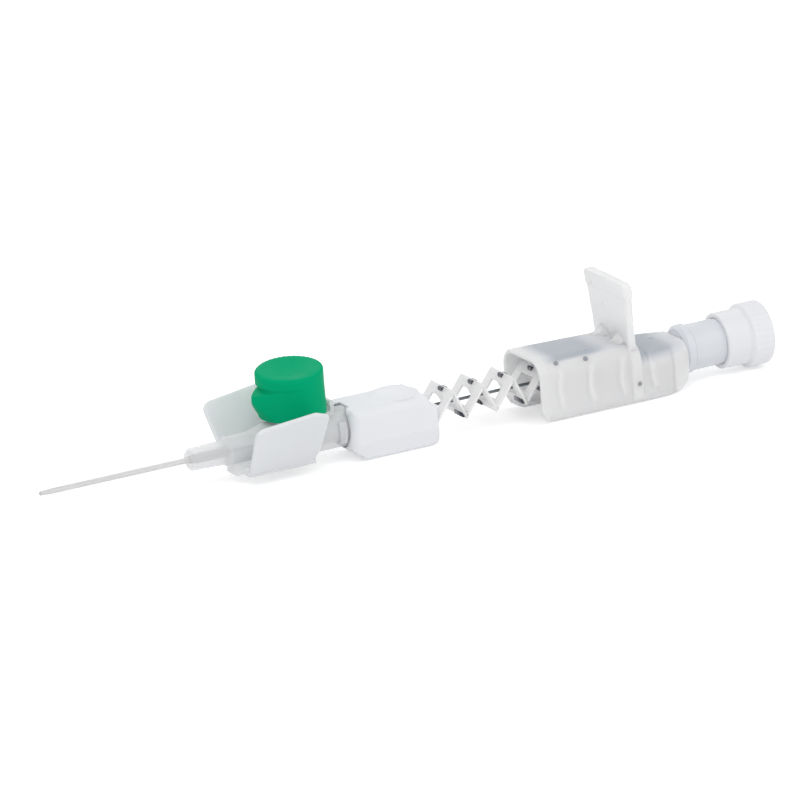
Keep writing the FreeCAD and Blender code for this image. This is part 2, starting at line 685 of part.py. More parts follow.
def strip_window(start, end):
    """Cutter for the rectangular opening of one panel, which the needle passes through."""
    run = end[0] - start[0]
    rise = end[1] - start[1]
    length = math.hypot(run, rise)
    cutter = box(WINDOW_MARGIN, length - WINDOW_MARGIN, -WINDOW_HALF_WIDTH, WINDOW_HALF_WIDTH,
                 -STRIP_THICK, STRIP_THICK)
    cutter.rotate(V(0, 0, 0), V(0, 1, 0), -math.degrees(math.atan2(rise, run)))
    cutter.translate(V(start[0], 0, start[1]))
    return cutter


def folding_strip():
    """Zigzag ribbon with a window in every panel, a centre knuckle inside each top fold and a knuckle
    inside one half of each bottom fold, the halves taken in turn."""
    folds = fold_points()
    over = offset_folds(folds, STRIP_THICK / 2)
    under = offset_folds(folds, -STRIP_THICK / 2)
    outline = [(x, z, 0) for x, z in over + under[::-1]]
    ribbon = prism_y(outline, -STRIP_HALF_WIDTH, STRIP_HALF_WIDTH)
    ribbon = ribbon.cut([strip_window(folds[i], folds[i + 1]) for i in range(len(folds) - 1)])
    knuckles = []
    for i, (x, z) in enumerate(folds[1:-1], start=1):
        if i % 2:
            low = -TOP_KNUCKLE_HALF_WIDTH
            high = TOP_KNUCKLE_HALF_WIDTH
            middle = z - KNUCKLE_INSET
        else:
            near = i % 4 == 2
            low = -LOW_KNUCKLE_END if near else LOW_KNUCKLE_START
            high = -LOW_KNUCKLE_START if near else LOW_KNUCKLE_END
            middle = z + KNUCKLE_INSET
        knuckles.append(box(x - KNUCKLE_LONG / 2, x + KNUCKLE_LONG / 2, low, high,
                            middle - KNUCKLE_HIGH / 2, middle + KNUCKLE_HIGH / 2))
    strip = ribbon.fuse(knuckles)
    return strip.common(box(GUARD_REAR, STRIP_END, -BARREL_HALF_WIDTH, BARREL_HALF_WIDTH, SOLE, BARREL_TOP))


def strip_anchor():
    """Plate on the needle hub's nose that holds the last fold of the strip."""
    plate = prism_x([
        (-STRIP_HALF_WIDTH, ANCHOR_LOW, ANCHOR_ROUND),
        (STRIP_HALF_WIDTH, ANCHOR_LOW, ANCHOR_ROUND),
        (STRIP_HALF_WIDTH, ANCHOR_HIGH, ANCHOR_ROUND),
        (-STRIP_HALF_WIDTH, ANCHOR_HIGH, ANCHOR_ROUND),
    ], STRIP_END, STRIP_END + ANCHOR_THICK)
    return plate.cut(rod_x(STRIP_END - OVERSHOOT, STRIP_END + 2 * OVERSHOOT, HUB_NOSE_RADIUS))


def barrel_block(inset):
    """Outside of the barrel, or its hollow when inset is the wall: side view, section and plan in common."""
    hollow = inset > 0
    half = BARREL_HALF_WIDTH - inset
    low = SOLE + inset
    front = BARREL_FRONT - (OVERSHOOT if hollow else 0)
    rear = BARREL_INNER_REAR if hollow else BARREL_REAR
    tail_x = TAIL_START - inset
    tail_high = TAIL_TOP - inset
    low_round = BARREL_ROUND - inset
    top_round = BARREL_TOP_ROUND - inset
    side_view = prism_y([
        (front, low, 0 if hollow else BARREL_CORNER),
        (rear, low, BARREL_CORNER - inset),
        (rear, tail_high, 0 if hollow else TAIL_TOP_ROUND / 2),
        (tail_x, tail_high, TAIL_TOP_ROUND / 2),
        (tail_x, BARREL_TOP_REAR - inset, 0),
        (front, BARREL_TOP - inset, 0),
    ], -half, half)
    main = prism_x([
        (-half, low, low_round),
        (half, low, low_round),
        (half, BARREL_TOP - inset, top_round),
        (-half, BARREL_TOP - inset, top_round),
    ], front, tail_x)
    tail = prism_x([
        (-half, low, low_round),
        (half, low, low_round),
        (half, tail_high, TAIL_TOP_ROUND),
        (-half, tail_high, TAIL_TOP_ROUND),
    ], tail_x, rear)
    plan = prism_z([
        (front, -half, 0),
        (BARREL_REAR - TAIL_TAPER, -half, BARREL_CORNER),
        (BARREL_REAR, -TAIL_HALF_WIDTH + inset, 0),
        (BARREL_REAR, TAIL_HALF_WIDTH - inset, 0),
        (BARREL_REAR - TAIL_TAPER, half, BARREL_CORNER),
        (front, half, 0),
    ], low, BARREL_TOP)
    return side_view.common(main.fuse(tail)).common(plan)


def grip_rib(x, side):
    """Upright rib on a side wall, bent into a shallow arc as seen from the side."""
    outer = BARREL_HALF_WIDTH + RIB_PROUD
    centre_x = x + RIB_BEND_RADIUS
    ring = rod_y(centre_x, 0, RIB_BEND_RADIUS + RIB_WIDTH / 2, 0, outer)
    ring = ring.cut(rod_y(centre_x, 0, RIB_BEND_RADIUS - RIB_WIDTH / 2, 0, outer))
    inner = BARREL_HALF_WIDTH - BARREL_WALL / 2
    rib = ring.common(box(x - RIB_BEND_RADIUS, x + RIB_BEND_RADIUS / 2, inner, outer,
                          -RIB_HEIGHT / 2, RIB_HEIGHT / 2))
    if side < 0:
        rib = rib.mirror(V(0, 0, 0), V(0, 1, 0))
    return rib


def finger_tab():
    """Upright tab across the barrel: a plate that widens upwards and leans forwards, thicker along its
    top, with a foot in front and an arch through the foot."""
    front = TAB_X - TAB_THICK / 2
    rear = TAB_X + TAB_THICK / 2
    waist_z = BARREL_TOP + TAB_WAIST
    lip_low = TAB_TOP - TAB_LIP_HEIGHT
    plate = prism_x([
        (-TAB_HALF_WIDTH_LOW, TAIL_TOP, 0),
        (TAB_HALF_WIDTH_LOW, TAIL_TOP, 0),
        (TAB_HALF_WIDTH_LOW, waist_z, 2 * TAB_WAIST),
        (TAB_HALF_WIDTH_TOP, TAB_TOP, TAB_CORNER),
        (-TAB_HALF_WIDTH_TOP, TAB_TOP, TAB_CORNER),
        (-TAB_HALF_WIDTH_LOW, waist_z, 2 * TAB_WAIST),
    ], front, rear)
    lip = prism_x([
        (-TAB_HALF_WIDTH_TOP + TAB_LIP_PROUD, lip_low, TAB_CORNER / 2),
        (TAB_HALF_WIDTH_TOP - TAB_LIP_PROUD, lip_low, TAB_CORNER / 2),
        (TAB_HALF_WIDTH_TOP - TAB_LIP_PROUD, TAB_TOP - TAB_LIP_PROUD, TAB_CORNER),
        (-TAB_HALF_WIDTH_TOP + TAB_LIP_PROUD, TAB_TOP - TAB_LIP_PROUD, TAB_CORNER),
    ], front - TAB_LIP_PROUD, rear + TAB_LIP_PROUD)
    tab = plate.fuse(lip)
    tab.rotate(V(TAB_X, 0, BARREL_TOP_REAR), V(0, 1, 0), -TAB_LEAN)
    foot = prism_y([
        (front - TAB_FOOT, BARREL_TOP_REAR - BARREL_WALL, 0),
        (TAB_X, BARREL_TOP_REAR - BARREL_WALL, 0),
        (TAB_X, BARREL_TOP + TAB_FOOT, 0),
        (front, BARREL_TOP + TAB_FOOT, 0),
        (front, BARREL_TOP_REAR + SADDLE_PROUD, 2 * TAB_THICK),
    ], -TAB_HALF_WIDTH_LOW + BARREL_ROUND, TAB_HALF_WIDTH_LOW - BARREL_ROUND)
    arch = rod_x(front - 2 * TAB_FOOT, front, TAB_ARCH_RADIUS)
    arch.translate(V(0, 0, BARREL_TOP_REAR - BARREL_WALL / 4))
    foot = foot.cut(arch)
    return tab.fuse(foot)


def saddle_band():
    """Band that carries the tab's edge down both side walls."""
    half = BARREL_HALF_WIDTH + SADDLE_PROUD
    return prism_x([
        (-half, SOLE + SADDLE_LOW, BARREL_ROUND),
        (half, SOLE + SADDLE_LOW, BARREL_ROUND),
        (half, BARREL_TOP_REAR, BARREL_TOP_ROUND),
        (-half, BARREL_TOP_REAR, BARREL_TOP_ROUND),
    ], TAB_X - SADDLE_LENGTH / 2, TAB_X + SADDLE_LENGTH / 2)


def grip_barrel():
    """Clear channel, open in front and underneath, with its finger tab, ribs and rear wall."""
    extras = [finger_tab(), saddle_band()]
    for i in range(RIB_COUNT):
        for side in (-1, 1):
            extras.append(grip_rib(RIB_FIRST_X + i * RIB_PITCH, side))
    barrel = barrel_block(0).fuse(extras)
    slot = box(BARREL_FRONT - OVERSHOOT, BARREL_INNER_REAR - SLOT_SETBACK, -SLOT_HALF_WIDTH, SLOT_HALF_WIDTH,
               SOLE - OVERSHOOT, 0)
    hub_hole = rod_x(BARREL_INNER_REAR - OVERSHOOT, BARREL_REAR + OVERSHOOT, HUB_SHAFT_RADIUS)
    return barrel.cut(barrel_block(BARREL_WALL)).cut(slot).cut(hub_hole).removeSplitter()


def needle():
    """Steel tube with a bevelled tip, glued into the needle hub."""
    tube = rod_x(NEEDLE_TIP_X, NEEDLE_END_X, NEEDLE_RADIUS)
    tube = tube.cut(rod_x(NEEDLE_TIP_X - OVERSHOOT, NEEDLE_END_X + OVERSHOOT, NEEDLE_BORE_RADIUS))
    bevel_length = 2 * NEEDLE_RADIUS / math.tan(math.radians(BEVEL_ANGLE))
    bevel = prism_y([
        (NEEDLE_TIP_X - OVERSHOOT, -NEEDLE_RADIUS, 0),
        (NEEDLE_TIP_X, -NEEDLE_RADIUS, 0),
        (NEEDLE_TIP_X + bevel_length, NEEDLE_RADIUS, 0),
        (NEEDLE_TIP_X + bevel_length, 2 * NEEDLE_RADIUS, 0),
        (NEEDLE_TIP_X - OVERSHOOT, 2 * NEEDLE_RADIUS, 0),
    ], -2 * NEEDLE_RADIUS, 2 * NEEDLE_RADIUS)
    return tube.cut(bevel)


def needle_hub():
    """Holds the needle in the barrel's rear wall and the flash chamber, with a funnel for the flash."""
    plug_end = BARREL_REAR + HUB_PLUG_LENGTH
    return turned([
        (STRIP_END, NEEDLE_RADIUS),
        (STRIP_END, HUB_NOSE_RADIUS),
        (BARREL_INNER_REAR, HUB_NOSE_RADIUS),
        (BARREL_INNER_REAR, HUB_SHAFT_RADIUS),
        (BARREL_REAR, HUB_SHAFT_RADIUS),
        (BARREL_REAR, CHAMBER_BORE_RADIUS),
        (plug_end, CHAMBER_BORE_RADIUS),
        (plug_end, HUB_SHAFT_RADIUS),
        (NEEDLE_END_X, NEEDLE_RADIUS),
    ])


def flash_chamber():
    """Clear tube pushed over the needle hub's plug, with a rolled collar at its front."""
    collar_end = BARREL_REAR + COLLAR_LENGTH
    return turned([
        (BARREL_REAR, CHAMBER_BORE_RADIUS),
        (BARREL_REAR, CHAMBER_RADIUS - COLLAR_PROUD),
        (BARREL_REAR + 2 * COLLAR_PROUD, CHAMBER_RADIUS + COLLAR_PROUD),
        (collar_end, CHAMBER_RADIUS + COLLAR_PROUD),
        (collar_end + COLLAR_PROUD, CHAMBER_RADIUS),
        (CHAMBER_REAR, CHAMBER_RADIUS),
        (CHAMBER_REAR, CHAMBER_BORE_RADIUS),
    ])


def vent_filter():
    """Porous plug that lets air out of the flash chamber and keeps blood in."""
    return rod_x(CHAMBER_REAR - FILTER_LENGTH, CHAMBER_REAR, CHAMBER_BORE_RADIUS)


def vent_cap():
    """White cap pushed over the chamber: a sleeve, a larger ring with ribs, and a dished end."""
    floor = CHAMBER_REAR + PART_GAP
    inner = CHAMBER_RADIUS + CAP_FIT
    dish = VENT_RING_RADIUS - 2 * VENT_SLEEVE_WALL
    cap = turned([
        (VENT_CAP_FRONT, inner),
        (VENT_CAP_FRONT, VENT_SLEEVE_RADIUS - VENT_EDGE),
        (VENT_CAP_FRONT + VENT_EDGE, VENT_SLEEVE_RADIUS),
        (VENT_RING_START, VENT_SLEEVE_RADIUS),
        (VENT_RING_START + VENT_EDGE, VENT_RING_RADIUS),
        (VENT_CAP_REAR - VENT_EDGE, VENT_RING_RADIUS),
        (VENT_CAP_REAR, VENT_RING_RADIUS - VENT_EDGE),
        (VENT_CAP_REAR, dish),
        (VENT_CAP_REAR - VENT_DISH_DEPTH, dish - VENT_EDGE),
        (VENT_CAP_REAR - VENT_DISH_DEPTH, 0),
        (floor, 0),
        (floor, inner),
    ])
    groove = prism_x([
        (0, VENT_RING_RADIUS - VENT_RIB_DEPTH, 0),
        (-VENT_RIB_GAP, VENT_RING_RADIUS + VENT_RIB_DEPTH, 0),
        (VENT_RIB_GAP, VENT_RING_RADIUS + VENT_RIB_DEPTH, 0),
    ], VENT_RING_START - OVERSHOOT, VENT_CAP_REAR + OVERSHOOT)
    return cap.cut(rotated_copies(groove, VENT_RIBS, V(0, 0, 0), V(1, 0, 0)))


PIECES = {
    "catheter_tube": catheter_tube,
    "tube_wedge": tube_wedge,
    "catheter_hub": catheter_hub,
    "port_valve": port_valve,
    "port_strap": port_strap,
    "port_cap": port_cap,
    "wing_left": lambda: wing(1),
    "wing_right": lambda: wing(-1),
    "guard_housing": guard_housing,
    "guard_nose": guard_nose,
    "guard_back_plate": guard_back_plate,
    "guard_clip": guard_clip,
    "folding_strip": folding_strip,
    "strip_anchor": strip_anchor,
    "grip_barrel": grip_barrel,
    "needle": needle,
    "needle_hub": needle_hub,
    "flash_chamber": flash_chamber,
    "vent_filter": vent_filter,
    "vent_cap": vent_cap,
}

os.makedirs("parts", exist_ok=True)
for name, make in PIECES.items():
    shape = make()
    shape.exportStep("parts/" + name + ".step")
    print(name, len(shape.Solids), round(shape.Volume, 2), shape.isValid())
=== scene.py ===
"""Looks of a ported safety cannula: a clear hub with wings and a green port cap, a white tip guard,
a folding strip round the needle, and a clear grip barrel with its finger tab, flash chamber and vent cap.

The sizes of the new pieces are properties with a name and a unit, and so are the colours. Each operator
makes or finishes one group of pieces; main() calls them in order."""
import math

import bmesh
import bpy
import numpy as np
from mathutils import Matrix, Vector


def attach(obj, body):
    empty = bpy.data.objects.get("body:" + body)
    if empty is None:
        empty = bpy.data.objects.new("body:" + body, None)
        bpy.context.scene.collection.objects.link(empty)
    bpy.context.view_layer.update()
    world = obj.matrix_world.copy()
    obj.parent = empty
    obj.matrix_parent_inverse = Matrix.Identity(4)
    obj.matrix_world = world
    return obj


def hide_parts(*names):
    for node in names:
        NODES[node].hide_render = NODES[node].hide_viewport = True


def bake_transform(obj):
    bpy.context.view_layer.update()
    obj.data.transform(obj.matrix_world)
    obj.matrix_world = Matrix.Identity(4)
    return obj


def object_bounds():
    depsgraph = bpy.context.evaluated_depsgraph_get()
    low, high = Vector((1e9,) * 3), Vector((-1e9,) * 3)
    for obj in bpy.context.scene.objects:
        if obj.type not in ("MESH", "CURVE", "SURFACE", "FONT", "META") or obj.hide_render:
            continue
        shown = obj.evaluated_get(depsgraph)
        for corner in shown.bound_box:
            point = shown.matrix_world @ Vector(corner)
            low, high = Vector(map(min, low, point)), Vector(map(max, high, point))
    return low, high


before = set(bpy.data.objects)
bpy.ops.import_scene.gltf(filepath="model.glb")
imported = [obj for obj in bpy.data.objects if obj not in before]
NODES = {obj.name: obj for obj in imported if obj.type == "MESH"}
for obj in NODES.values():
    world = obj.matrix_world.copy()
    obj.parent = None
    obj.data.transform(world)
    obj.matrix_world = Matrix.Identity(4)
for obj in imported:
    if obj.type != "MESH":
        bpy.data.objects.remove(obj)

CAD_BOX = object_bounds()
MM = 0.001
PICTURE_WIDTH = 800
PIXELS_PER_MM = 6.445
CAMERA_DISTANCE = 3000.0     # mm

bl_info = {
    "name": "Safety Cannula Looks",
    "version": (1, 0, 0),
    "blender": (4, 5, 0),
    "location": "3D View > Sidebar > Cannula",
    "description": "Builds the surfaces, finishes and studio of a ported safety cannula round its CAD frame",
    "category": "Add Mesh",
}


def length(name, text, default, low=0.0, high=200.0):
    """A size in millimetres, kept in metres, with the limits of its slider."""
    return bpy.props.FloatProperty(name=name, description=text, default=default * MM, min=low * MM,
                                   max=high * MM, precision=5, unit="LENGTH", subtype="DISTANCE")


def count(name, text, default, low, high):
    """A whole number, with the limits of its slider."""
    return bpy.props.IntProperty(name=name, description=text, default=default, min=low, max=high)


def colour(name, text, red, green, blue):
    """A colour given as it looks on a screen, from 0 to 255, and kept in linear light."""
    screen = np.array([red, green, blue]) / 255
    linear = np.where(screen <= 0.04045, screen / 12.92, ((screen + 0.055) / 1.055) ** 2.4)
    return bpy.props.FloatVectorProperty(name=name, description=text, default=tuple(linear.tolist()), size=3,
                                         min=0.0, max=1.0, subtype="COLOR")


class CannulaSizes(bpy.types.PropertyGroup):
    """Sizes of the pieces that are made here."""
    port_x: length("Port place", "Where the port's axis stands along the needle", 18.9)
    cap_radius: length("Cap radius", "Outer radius of the port cap", 5.35)
    cap_wall: length("Cap wall", "Thickness of the cap's wall", 0.85)
    cap_deck: length("Cap deck", "Height of the inside of the cap's top above the needle", 9.1)
    cap_low: length("Cap skirt", "Height of the cap's lower edge above the needle", 3.7)
    cap_top: length("Cap top", "Height of the middle of the cap's rim above the needle", 11.1)
    cap_rim: length("Cap rim height", "Height of the band below the cap's top", 2.4)
    cap_slim: length("Cap waist", "How much slimmer the cap is under its rim", 0.16)
    cap_slant: length("Cap slant", "How much higher the rim's rear is than its middle", 0.48)
    cap_dish_radius: length("Cap dish radius", "Radius of the hollow in the cap's top", 4.7)
    cap_dish_depth: length("Cap dish depth", "Depth of the hollow in the cap's top", 0.5)
    cap_teeth: count("Cap teeth", "Number of teeth round the cap's rim", 40, 12, 120)
    cap_tooth_depth: length("Cap tooth depth", "Depth of the gaps between the teeth", 0.13)
    lip_reach: length("Lip reach", "How far the thumb lip stands out", 2.1)
    lip_edge: length("Lip edge height", "Height of the thumb lip's edge above the needle", 7.55)
    vent_front: length("Vent cap front", "Front of the vent cap's sleeve", 93.8)
    vent_rear: length("Vent cap rear", "Rear of the vent cap's ring", 101.8)
    vent_sleeve_radius: length("Vent sleeve radius", "Outer radius of the sleeve", 4.45)
    vent_ring_radius: length("Vent ring radius", "Outer radius of the ribbed ring", 5.05)
    vent_ring_start: length("Vent ring start", "Where the ribbed ring begins", 98.3)
    vent_ribs: count("Vent ribs", "Number of fine ribs round the ring", 30, 12, 90)
    vent_rib_depth: length("Vent rib depth", "Depth of the grooves between the ribs", 0.08)
    wing_start: length("Wing start", "Front edge of the wings", 7.7)
    wing_length: length("Wing length", "Length of the wings along the hub", 12.8)
    wing_step: length("Wing front slant", "How far back a wing's front edge starts at its root", 1.0)
    wing_front_span: length("Wing front span", "Reach of a wing at its front", 10.0)
    wing_rear_span: length("Wing rear span", "Reach of a wing at its rear", 11.3)
    wing_thick: length("Wing thickness", "Thickness of a wing", 0.7)
    wing_hinge_y: length("Wing hinge place", "How far the film hinge is from the middle", 4.0)
    wing_hinge_z: length("Wing hinge depth", "How far the film hinge is below the needle", 3.2)
    strip_start: length("Strip start", "Front fold of the strip", 41.9)
    fold_pitch: length("Fold pitch", "Distance between two bottom folds", 5.3)
    fold_lead: length("Fold lead", "From a top fold back to the next bottom fold", 2.0)
    fold_top: length("Top fold height", "Height of the top folds above the needle", 2.45)
    fold_low: length("Bottom fold depth", "Depth of the bottom folds below the needle", 1.75)
    strip_half_width: length("Strip half width", "Half the strip's width", 3.8)
    strip_thick: length("Strip thickness", "Thickness of the strip's panels", 0.4)
    window_half_width: length("Window half width", "Half the width of the opening in a panel", 1.9)
    window_margin: length("Window margin", "From a fold to the opening", 1.3)
    panel_pairs: count("Panel pairs", "Pairs of panels in the strip", 7, 2, 20)
    strip_stub: length("Strip stub", "How far the strip reaches into the plates at its ends", 0.6)
    mark_long: length("Mark length", "Length of a dark knuckle along the needle", 1.1)
    mark_high: length("Mark height", "Height of a dark knuckle", 0.86)
    barrel_front: length("Barrel front", "Front edge of the barrel", 59.2)
    barrel_rear: length("Barrel rear", "Rear face of the barrel", 86.6)
    barrel_half_width: length("Barrel half width", "Half the barrel's width", 6.3)
    barrel_sole: length("Barrel depth", "Depth of the barrel's lower edges below the needle", 5.3)
    barrel_top: length("Barrel top", "Height of the barrel's roof at its front", 5.0)
    barrel_tail_top: length("Barrel tail top", "Height of the barrel behind the finger tab", 2.65)
    barrel_wall: length("Barrel wall", "Thickness of the barrel's walls", 0.7)
    barrel_round: length("Barrel round", "Radius of the upper corners seen from the front", 3.2)
    barrel_low_round: length("Barrel low round", "Radius of the lower corners seen from the front", 1.8)
    roof_fall: length("Roof fall", "How far the barrel's roof falls towards its tail", 0.5)
    tail_narrowing: length("Tail narrowing", "How far each side of the tail would draw in", 2.4)
    barrel_corner: length("Barrel corner", "Radius of the lower corners seen from the side", 2.8)
    barrel_slot_end: length("Slot end", "Where the slot underneath ends", 83.0)
    rib_first: length("First rib", "Place of the first grip rib", 62.3)
    rib_pitch: length("Rib pitch", "Distance between two grip ribs", 5.5)
    rib_bend: length("Rib bend", "Radius of the grip ribs' bend", 9.0)
    rib_half_length: length("Rib half length", "Half the length of a grip rib", 3.2)
    side_draw: length("Side draw", "How far the sides are drawn in between the ribs", 0.12)
    rib_proud: length("Rib height", "How far a grip rib stands out", 0.46)
    tab_x: length("Tab place", "Where the finger tab stands", 76.0)
    tab_top: length("Tab top", "Height of the finger tab's top edge", 14.6)
    tab_thick: length("Tab thickness", "Thickness of the finger tab", 1.25)
    tab_foot: length("Tab foot", "How far the tab's foot reaches forwards and up", 2.6)
    dot_radius: length("Dot radius", "Radius of the small moulded dots on the barrel", 0.36)
    edge_softness: length("Edge softness", "How far the guard's edges look rounded", 0.48, 0.0, 2.0)


class CannulaColours(bpy.types.PropertyGroup):
    """Colours of the mouldings and metals, and the painted shade on the barrel's roof."""
    cap_green: colour("Cap green", "The port cap", 0, 170, 118)
    guard_white: colour("Guard white", "The tip guard", 236, 237, 241)
    vent_white: colour("Vent white", "The vent cap", 235, 236, 239)
    hub_clear: colour("Hub clear", "The catheter hub", 240, 241, 243)
    wing_clear: colour("Wing clear", "The wings", 241, 243, 246)
    barrel_clear: colour("Barrel clear", "The grip barrel", 251, 251, 254)
    chamber_clear: colour("Chamber clear", "The flash chamber", 234, 237, 242)
    strip_clear: colour("Strip clear", "The folding strip", 252, 252, 252)
    # This grey is painted shade: it stands for the darker inside seen through the barrel's roof and for the
    # shade between its grip ribs.
    roof_painted_shade: colour("Roof grey", "The barrel's polished roof, where its inside shows", 186, 193, 201)
    dot_grey: colour("Dot grey", "The small domes on the barrel", 150, 153, 160)
    mark_dark: colour("Fold marks", "The dark knuckles on the strip's folds", 40, 42, 60)
    tube_white: colour("Tube white", "The catheter tube", 244, 244, 243)
    steel: colour("Steel", "The needle, the wedge and the clip", 120, 124, 128)
    silicone: colour("Silicone", "The port's valve", 214, 216, 214)
    filter_white: colour("Filter white", "The porous plug in the chamber", 232, 231, 226)
    floor_pale: colour("Floor", "The floor under the cannula", 238, 238, 238)


# Mesh makers. Every one works on whole arrays.


def rounded(corners, steps=6):
    """Closed outline through corners (a, b, radius). A corner turns into a curve between the two points
    that lie its reach, radius / tan(half the angle), away on its sides: the curve at t is the mean of
    start, corner and end with the weights (1 - t)^2, 2 t (1 - t) and t^2."""
    table = np.asarray(corners, float)
    place, radius = table[:, :2], table[:, 2]
    before = np.roll(place, 1, 0) - place
    after = np.roll(place, -1, 0) - place
    before /= np.linalg.norm(before, axis=1, keepdims=True)
    after /= np.linalg.norm(after, axis=1, keepdims=True)
    half = np.arccos(np.clip((before * after).sum(1), -1, 1)) / 2
    reach = np.where(radius > 0, radius / np.maximum(np.tan(half), 1e-9), 0)[:, None]
    start, end = place + before * reach, place + after * reach
    t = np.linspace(0, 1, steps)[None, :, None]
    curve = (1 - t) ** 2 * start[:, None] + 2 * t * (1 - t) * place[:, None] + t ** 2 * end[:, None]
    return curve.reshape(-1, 2)


def ramp(value, start, width):
    """0 up to start, 1 from start + width on, and straight between them."""
    return np.clip((value - start) / width, 0, 1)


def ease(value, start, width):
    """The same with soft ends, 0.5 - 0.5 cos(pi ramp)."""
    return 0.5 - 0.5 * np.cos(np.pi * ramp(value, start, width))


def spread(outline, spacing, closed=True):
    """Points at an even spacing along an outline, from its running length."""
    ring = np.vstack([outline, outline[:1]]) if closed else np.asarray(outline, float)
    step = np.linalg.norm(np.diff(ring, axis=0), axis=1)
    run = np.concatenate([[0], np.cumsum(step)])
    keep = np.concatenate([[True], step > 1e-9])
    ring, run = ring[keep], run[keep]
    amount = max(8, int(round(run[-1] / spacing)))
    at = np.linspace(0, run[-1], amount + 1)
    at = at[:-1] if closed else at
    return np.stack([np.interp(at, run, ring[:, k]) for k in range(ring.shape[1])], 1)


def grid_mesh(name, points, wrap_rows=False, wrap_columns=False, keep=None, smooth=40.0):
    """Object whose faces join each point of a grid (rows, columns, 3) to its right, lower right and lower
    neighbour. A wrapped direction joins its last line to its first, and keep says which cells are there.
    Points that coincide, at poles and seams, become one."""
    rows, columns = points.shape[:2]
    index = np.arange(rows * columns).reshape(rows, columns)
    right, below = np.roll(index, -1, 1), np.roll(index, -1, 0)
    cells = np.stack([index, right, np.roll(below, -1, 1), below], -1)
    cells = cells if wrap_rows else cells[:-1]
    cells = cells if wrap_columns else cells[:, :-1]
    cells = cells.reshape(-1, 4) if keep is None else cells[keep]
    return faces_mesh(name, points.reshape(-1, 3), cells, smooth)


def faces_mesh(name, points, cells, smooth=40.0):
    """Object of four-sided cells and the points that they use, merged where points coincide, with its faces
    turned outwards. Edges sharper than the given angle stay sharp and the rest is shaded smooth."""
    used, cells = np.unique(cells, return_inverse=True)
    points, cells = points[used], cells.reshape(-1, 4)
    mesh = bpy.data.meshes.new(name)
    mesh.vertices.add(len(points))
    mesh.vertices.foreach_set("co", np.asarray(points, np.float32).ravel())
    mesh.loops.add(cells.size)
    mesh.loops.foreach_set("vertex_index", cells.astype(np.int32).ravel())
    mesh.polygons.add(len(cells))
    mesh.polygons.foreach_set("loop_start", np.arange(0, cells.size, 4, dtype=np.int32))
    mesh.update(calc_edges=True)
    tidy = bmesh.new()
    tidy.from_mesh(mesh)
    bmesh.ops.remove_doubles(tidy, verts=tidy.verts, dist=1e-7)
    bmesh.ops.dissolve_degenerate(tidy, edges=tidy.edges, dist=1e-8)
    bmesh.ops.recalc_face_normals(tidy, faces=tidy.faces)
    tidy.to_mesh(mesh)
    tidy.free()
    mesh.shade_smooth()
    mesh.set_sharp_from_angle(angle=math.radians(smooth))
    return placed(name, mesh)


def placed(name, data):
    """Object of the data, linked to the scene."""
    piece = bpy.data.objects.new(name, data)
    bpy.context.scene.collection.objects.link(piece)
    return piece


def turned_grid(profile, columns, teeth=0, depth=0.0, band=0.0, sharpness=1.0):
    """Grid of a profile (along, radius) turned about the first axis, as (rows, columns, 3) with the axis
    first. Where the profile's band is 1 the radius loses depth in the gaps between teeth: the gap at
    angle a is (0.5 - 0.5 cos(teeth a)) raised to the sharpness."""
    angle = np.linspace(0, 2 * np.pi, columns, endpoint=False)[None, :]
    along, radius = profile[:, :1], profile[:, 1:]
    gap = (0.5 - 0.5 * np.cos(teeth * angle)) ** sharpness
    reach = radius - depth * gap * np.reshape(band, (-1, 1))
    return np.stack([along + 0 * angle, reach * np.cos(angle), reach * np.sin(angle)], -1)


def drawn_out(grid, extra, inner):
    """A turned grid whose points lie extra further from its axis, those beyond the inner radius alone."""
    out = np.hypot(grid[..., 1], grid[..., 2])
    scale = 1 + extra * (out > inner) / np.maximum(out, 1e-9)
    return np.stack([grid[..., 0], grid[..., 1] * scale, grid[..., 2] * scale], -1)


def upright(grid, x):
    """A turned grid stood up: its axis becomes the vertical at x."""
    return np.stack([x + grid[..., 1], grid[..., 2], grid[..., 0]], -1)


def soft_slab(outline, low, high, edge, rings=5, fill=6):
    """Grid of a slab with an outline in (a, b) from low to high in c, its edges rounded. Ring by ring the
    outline moves inwards along its own normals by edge (1 - sin(angle)) while c rises by edge cos(angle),
    and the flat faces shrink to the outline's middle."""
    ahead, behind = np.roll(outline, -1, 0), np.roll(outline, 1, 0)
    along = ahead - behind
    along /= np.maximum(np.linalg.norm(along, axis=1, keepdims=True), 1e-12)
    normal = np.stack([along[:, 1], -along[:, 0]], 1)
    area = 0.5 * np.sum(outline[:, 0] * ahead[:, 1] - ahead[:, 0] * outline[:, 1])
    normal = normal if area > 0 else -normal
    turn = np.linspace(0, np.pi / 2, rings)
    inset = edge * (1 - np.sin(turn))
    rise = edge * (1 - np.cos(turn))
    middle = outline.mean(0)
    lower = outline[None] - normal[None] * inset[:, None, None]
    shrink = np.linspace(0, 1, fill)[:, None, None]
    floor = middle + (lower[0] - middle) * shrink
    plan = np.concatenate([floor[:-1], lower, lower[::-1], floor[:-1][::-1]])
    level = np.concatenate([np.full(fill - 1, low), low + rise, high - rise[::-1], np.full(fill - 1, high)])
    return np.concatenate([plan, np.broadcast_to(level[:, None, None], plan.shape[:2] + (1,))], -1)


def stacks_mesh(name, points):
    """Object of several stacks of closed rings (stacks, rings, columns, 3)."""
    index = np.arange(points[..., 0].size).reshape(points.shape[:3])
    right = np.roll(index, -1, 2)
    cells = np.stack([index[:, :-1], right[:, :-1], right[:, 1:], index[:, 1:]], -1)
    return faces_mesh(name, points.reshape(-1, 3), cells.reshape(-1, 4))


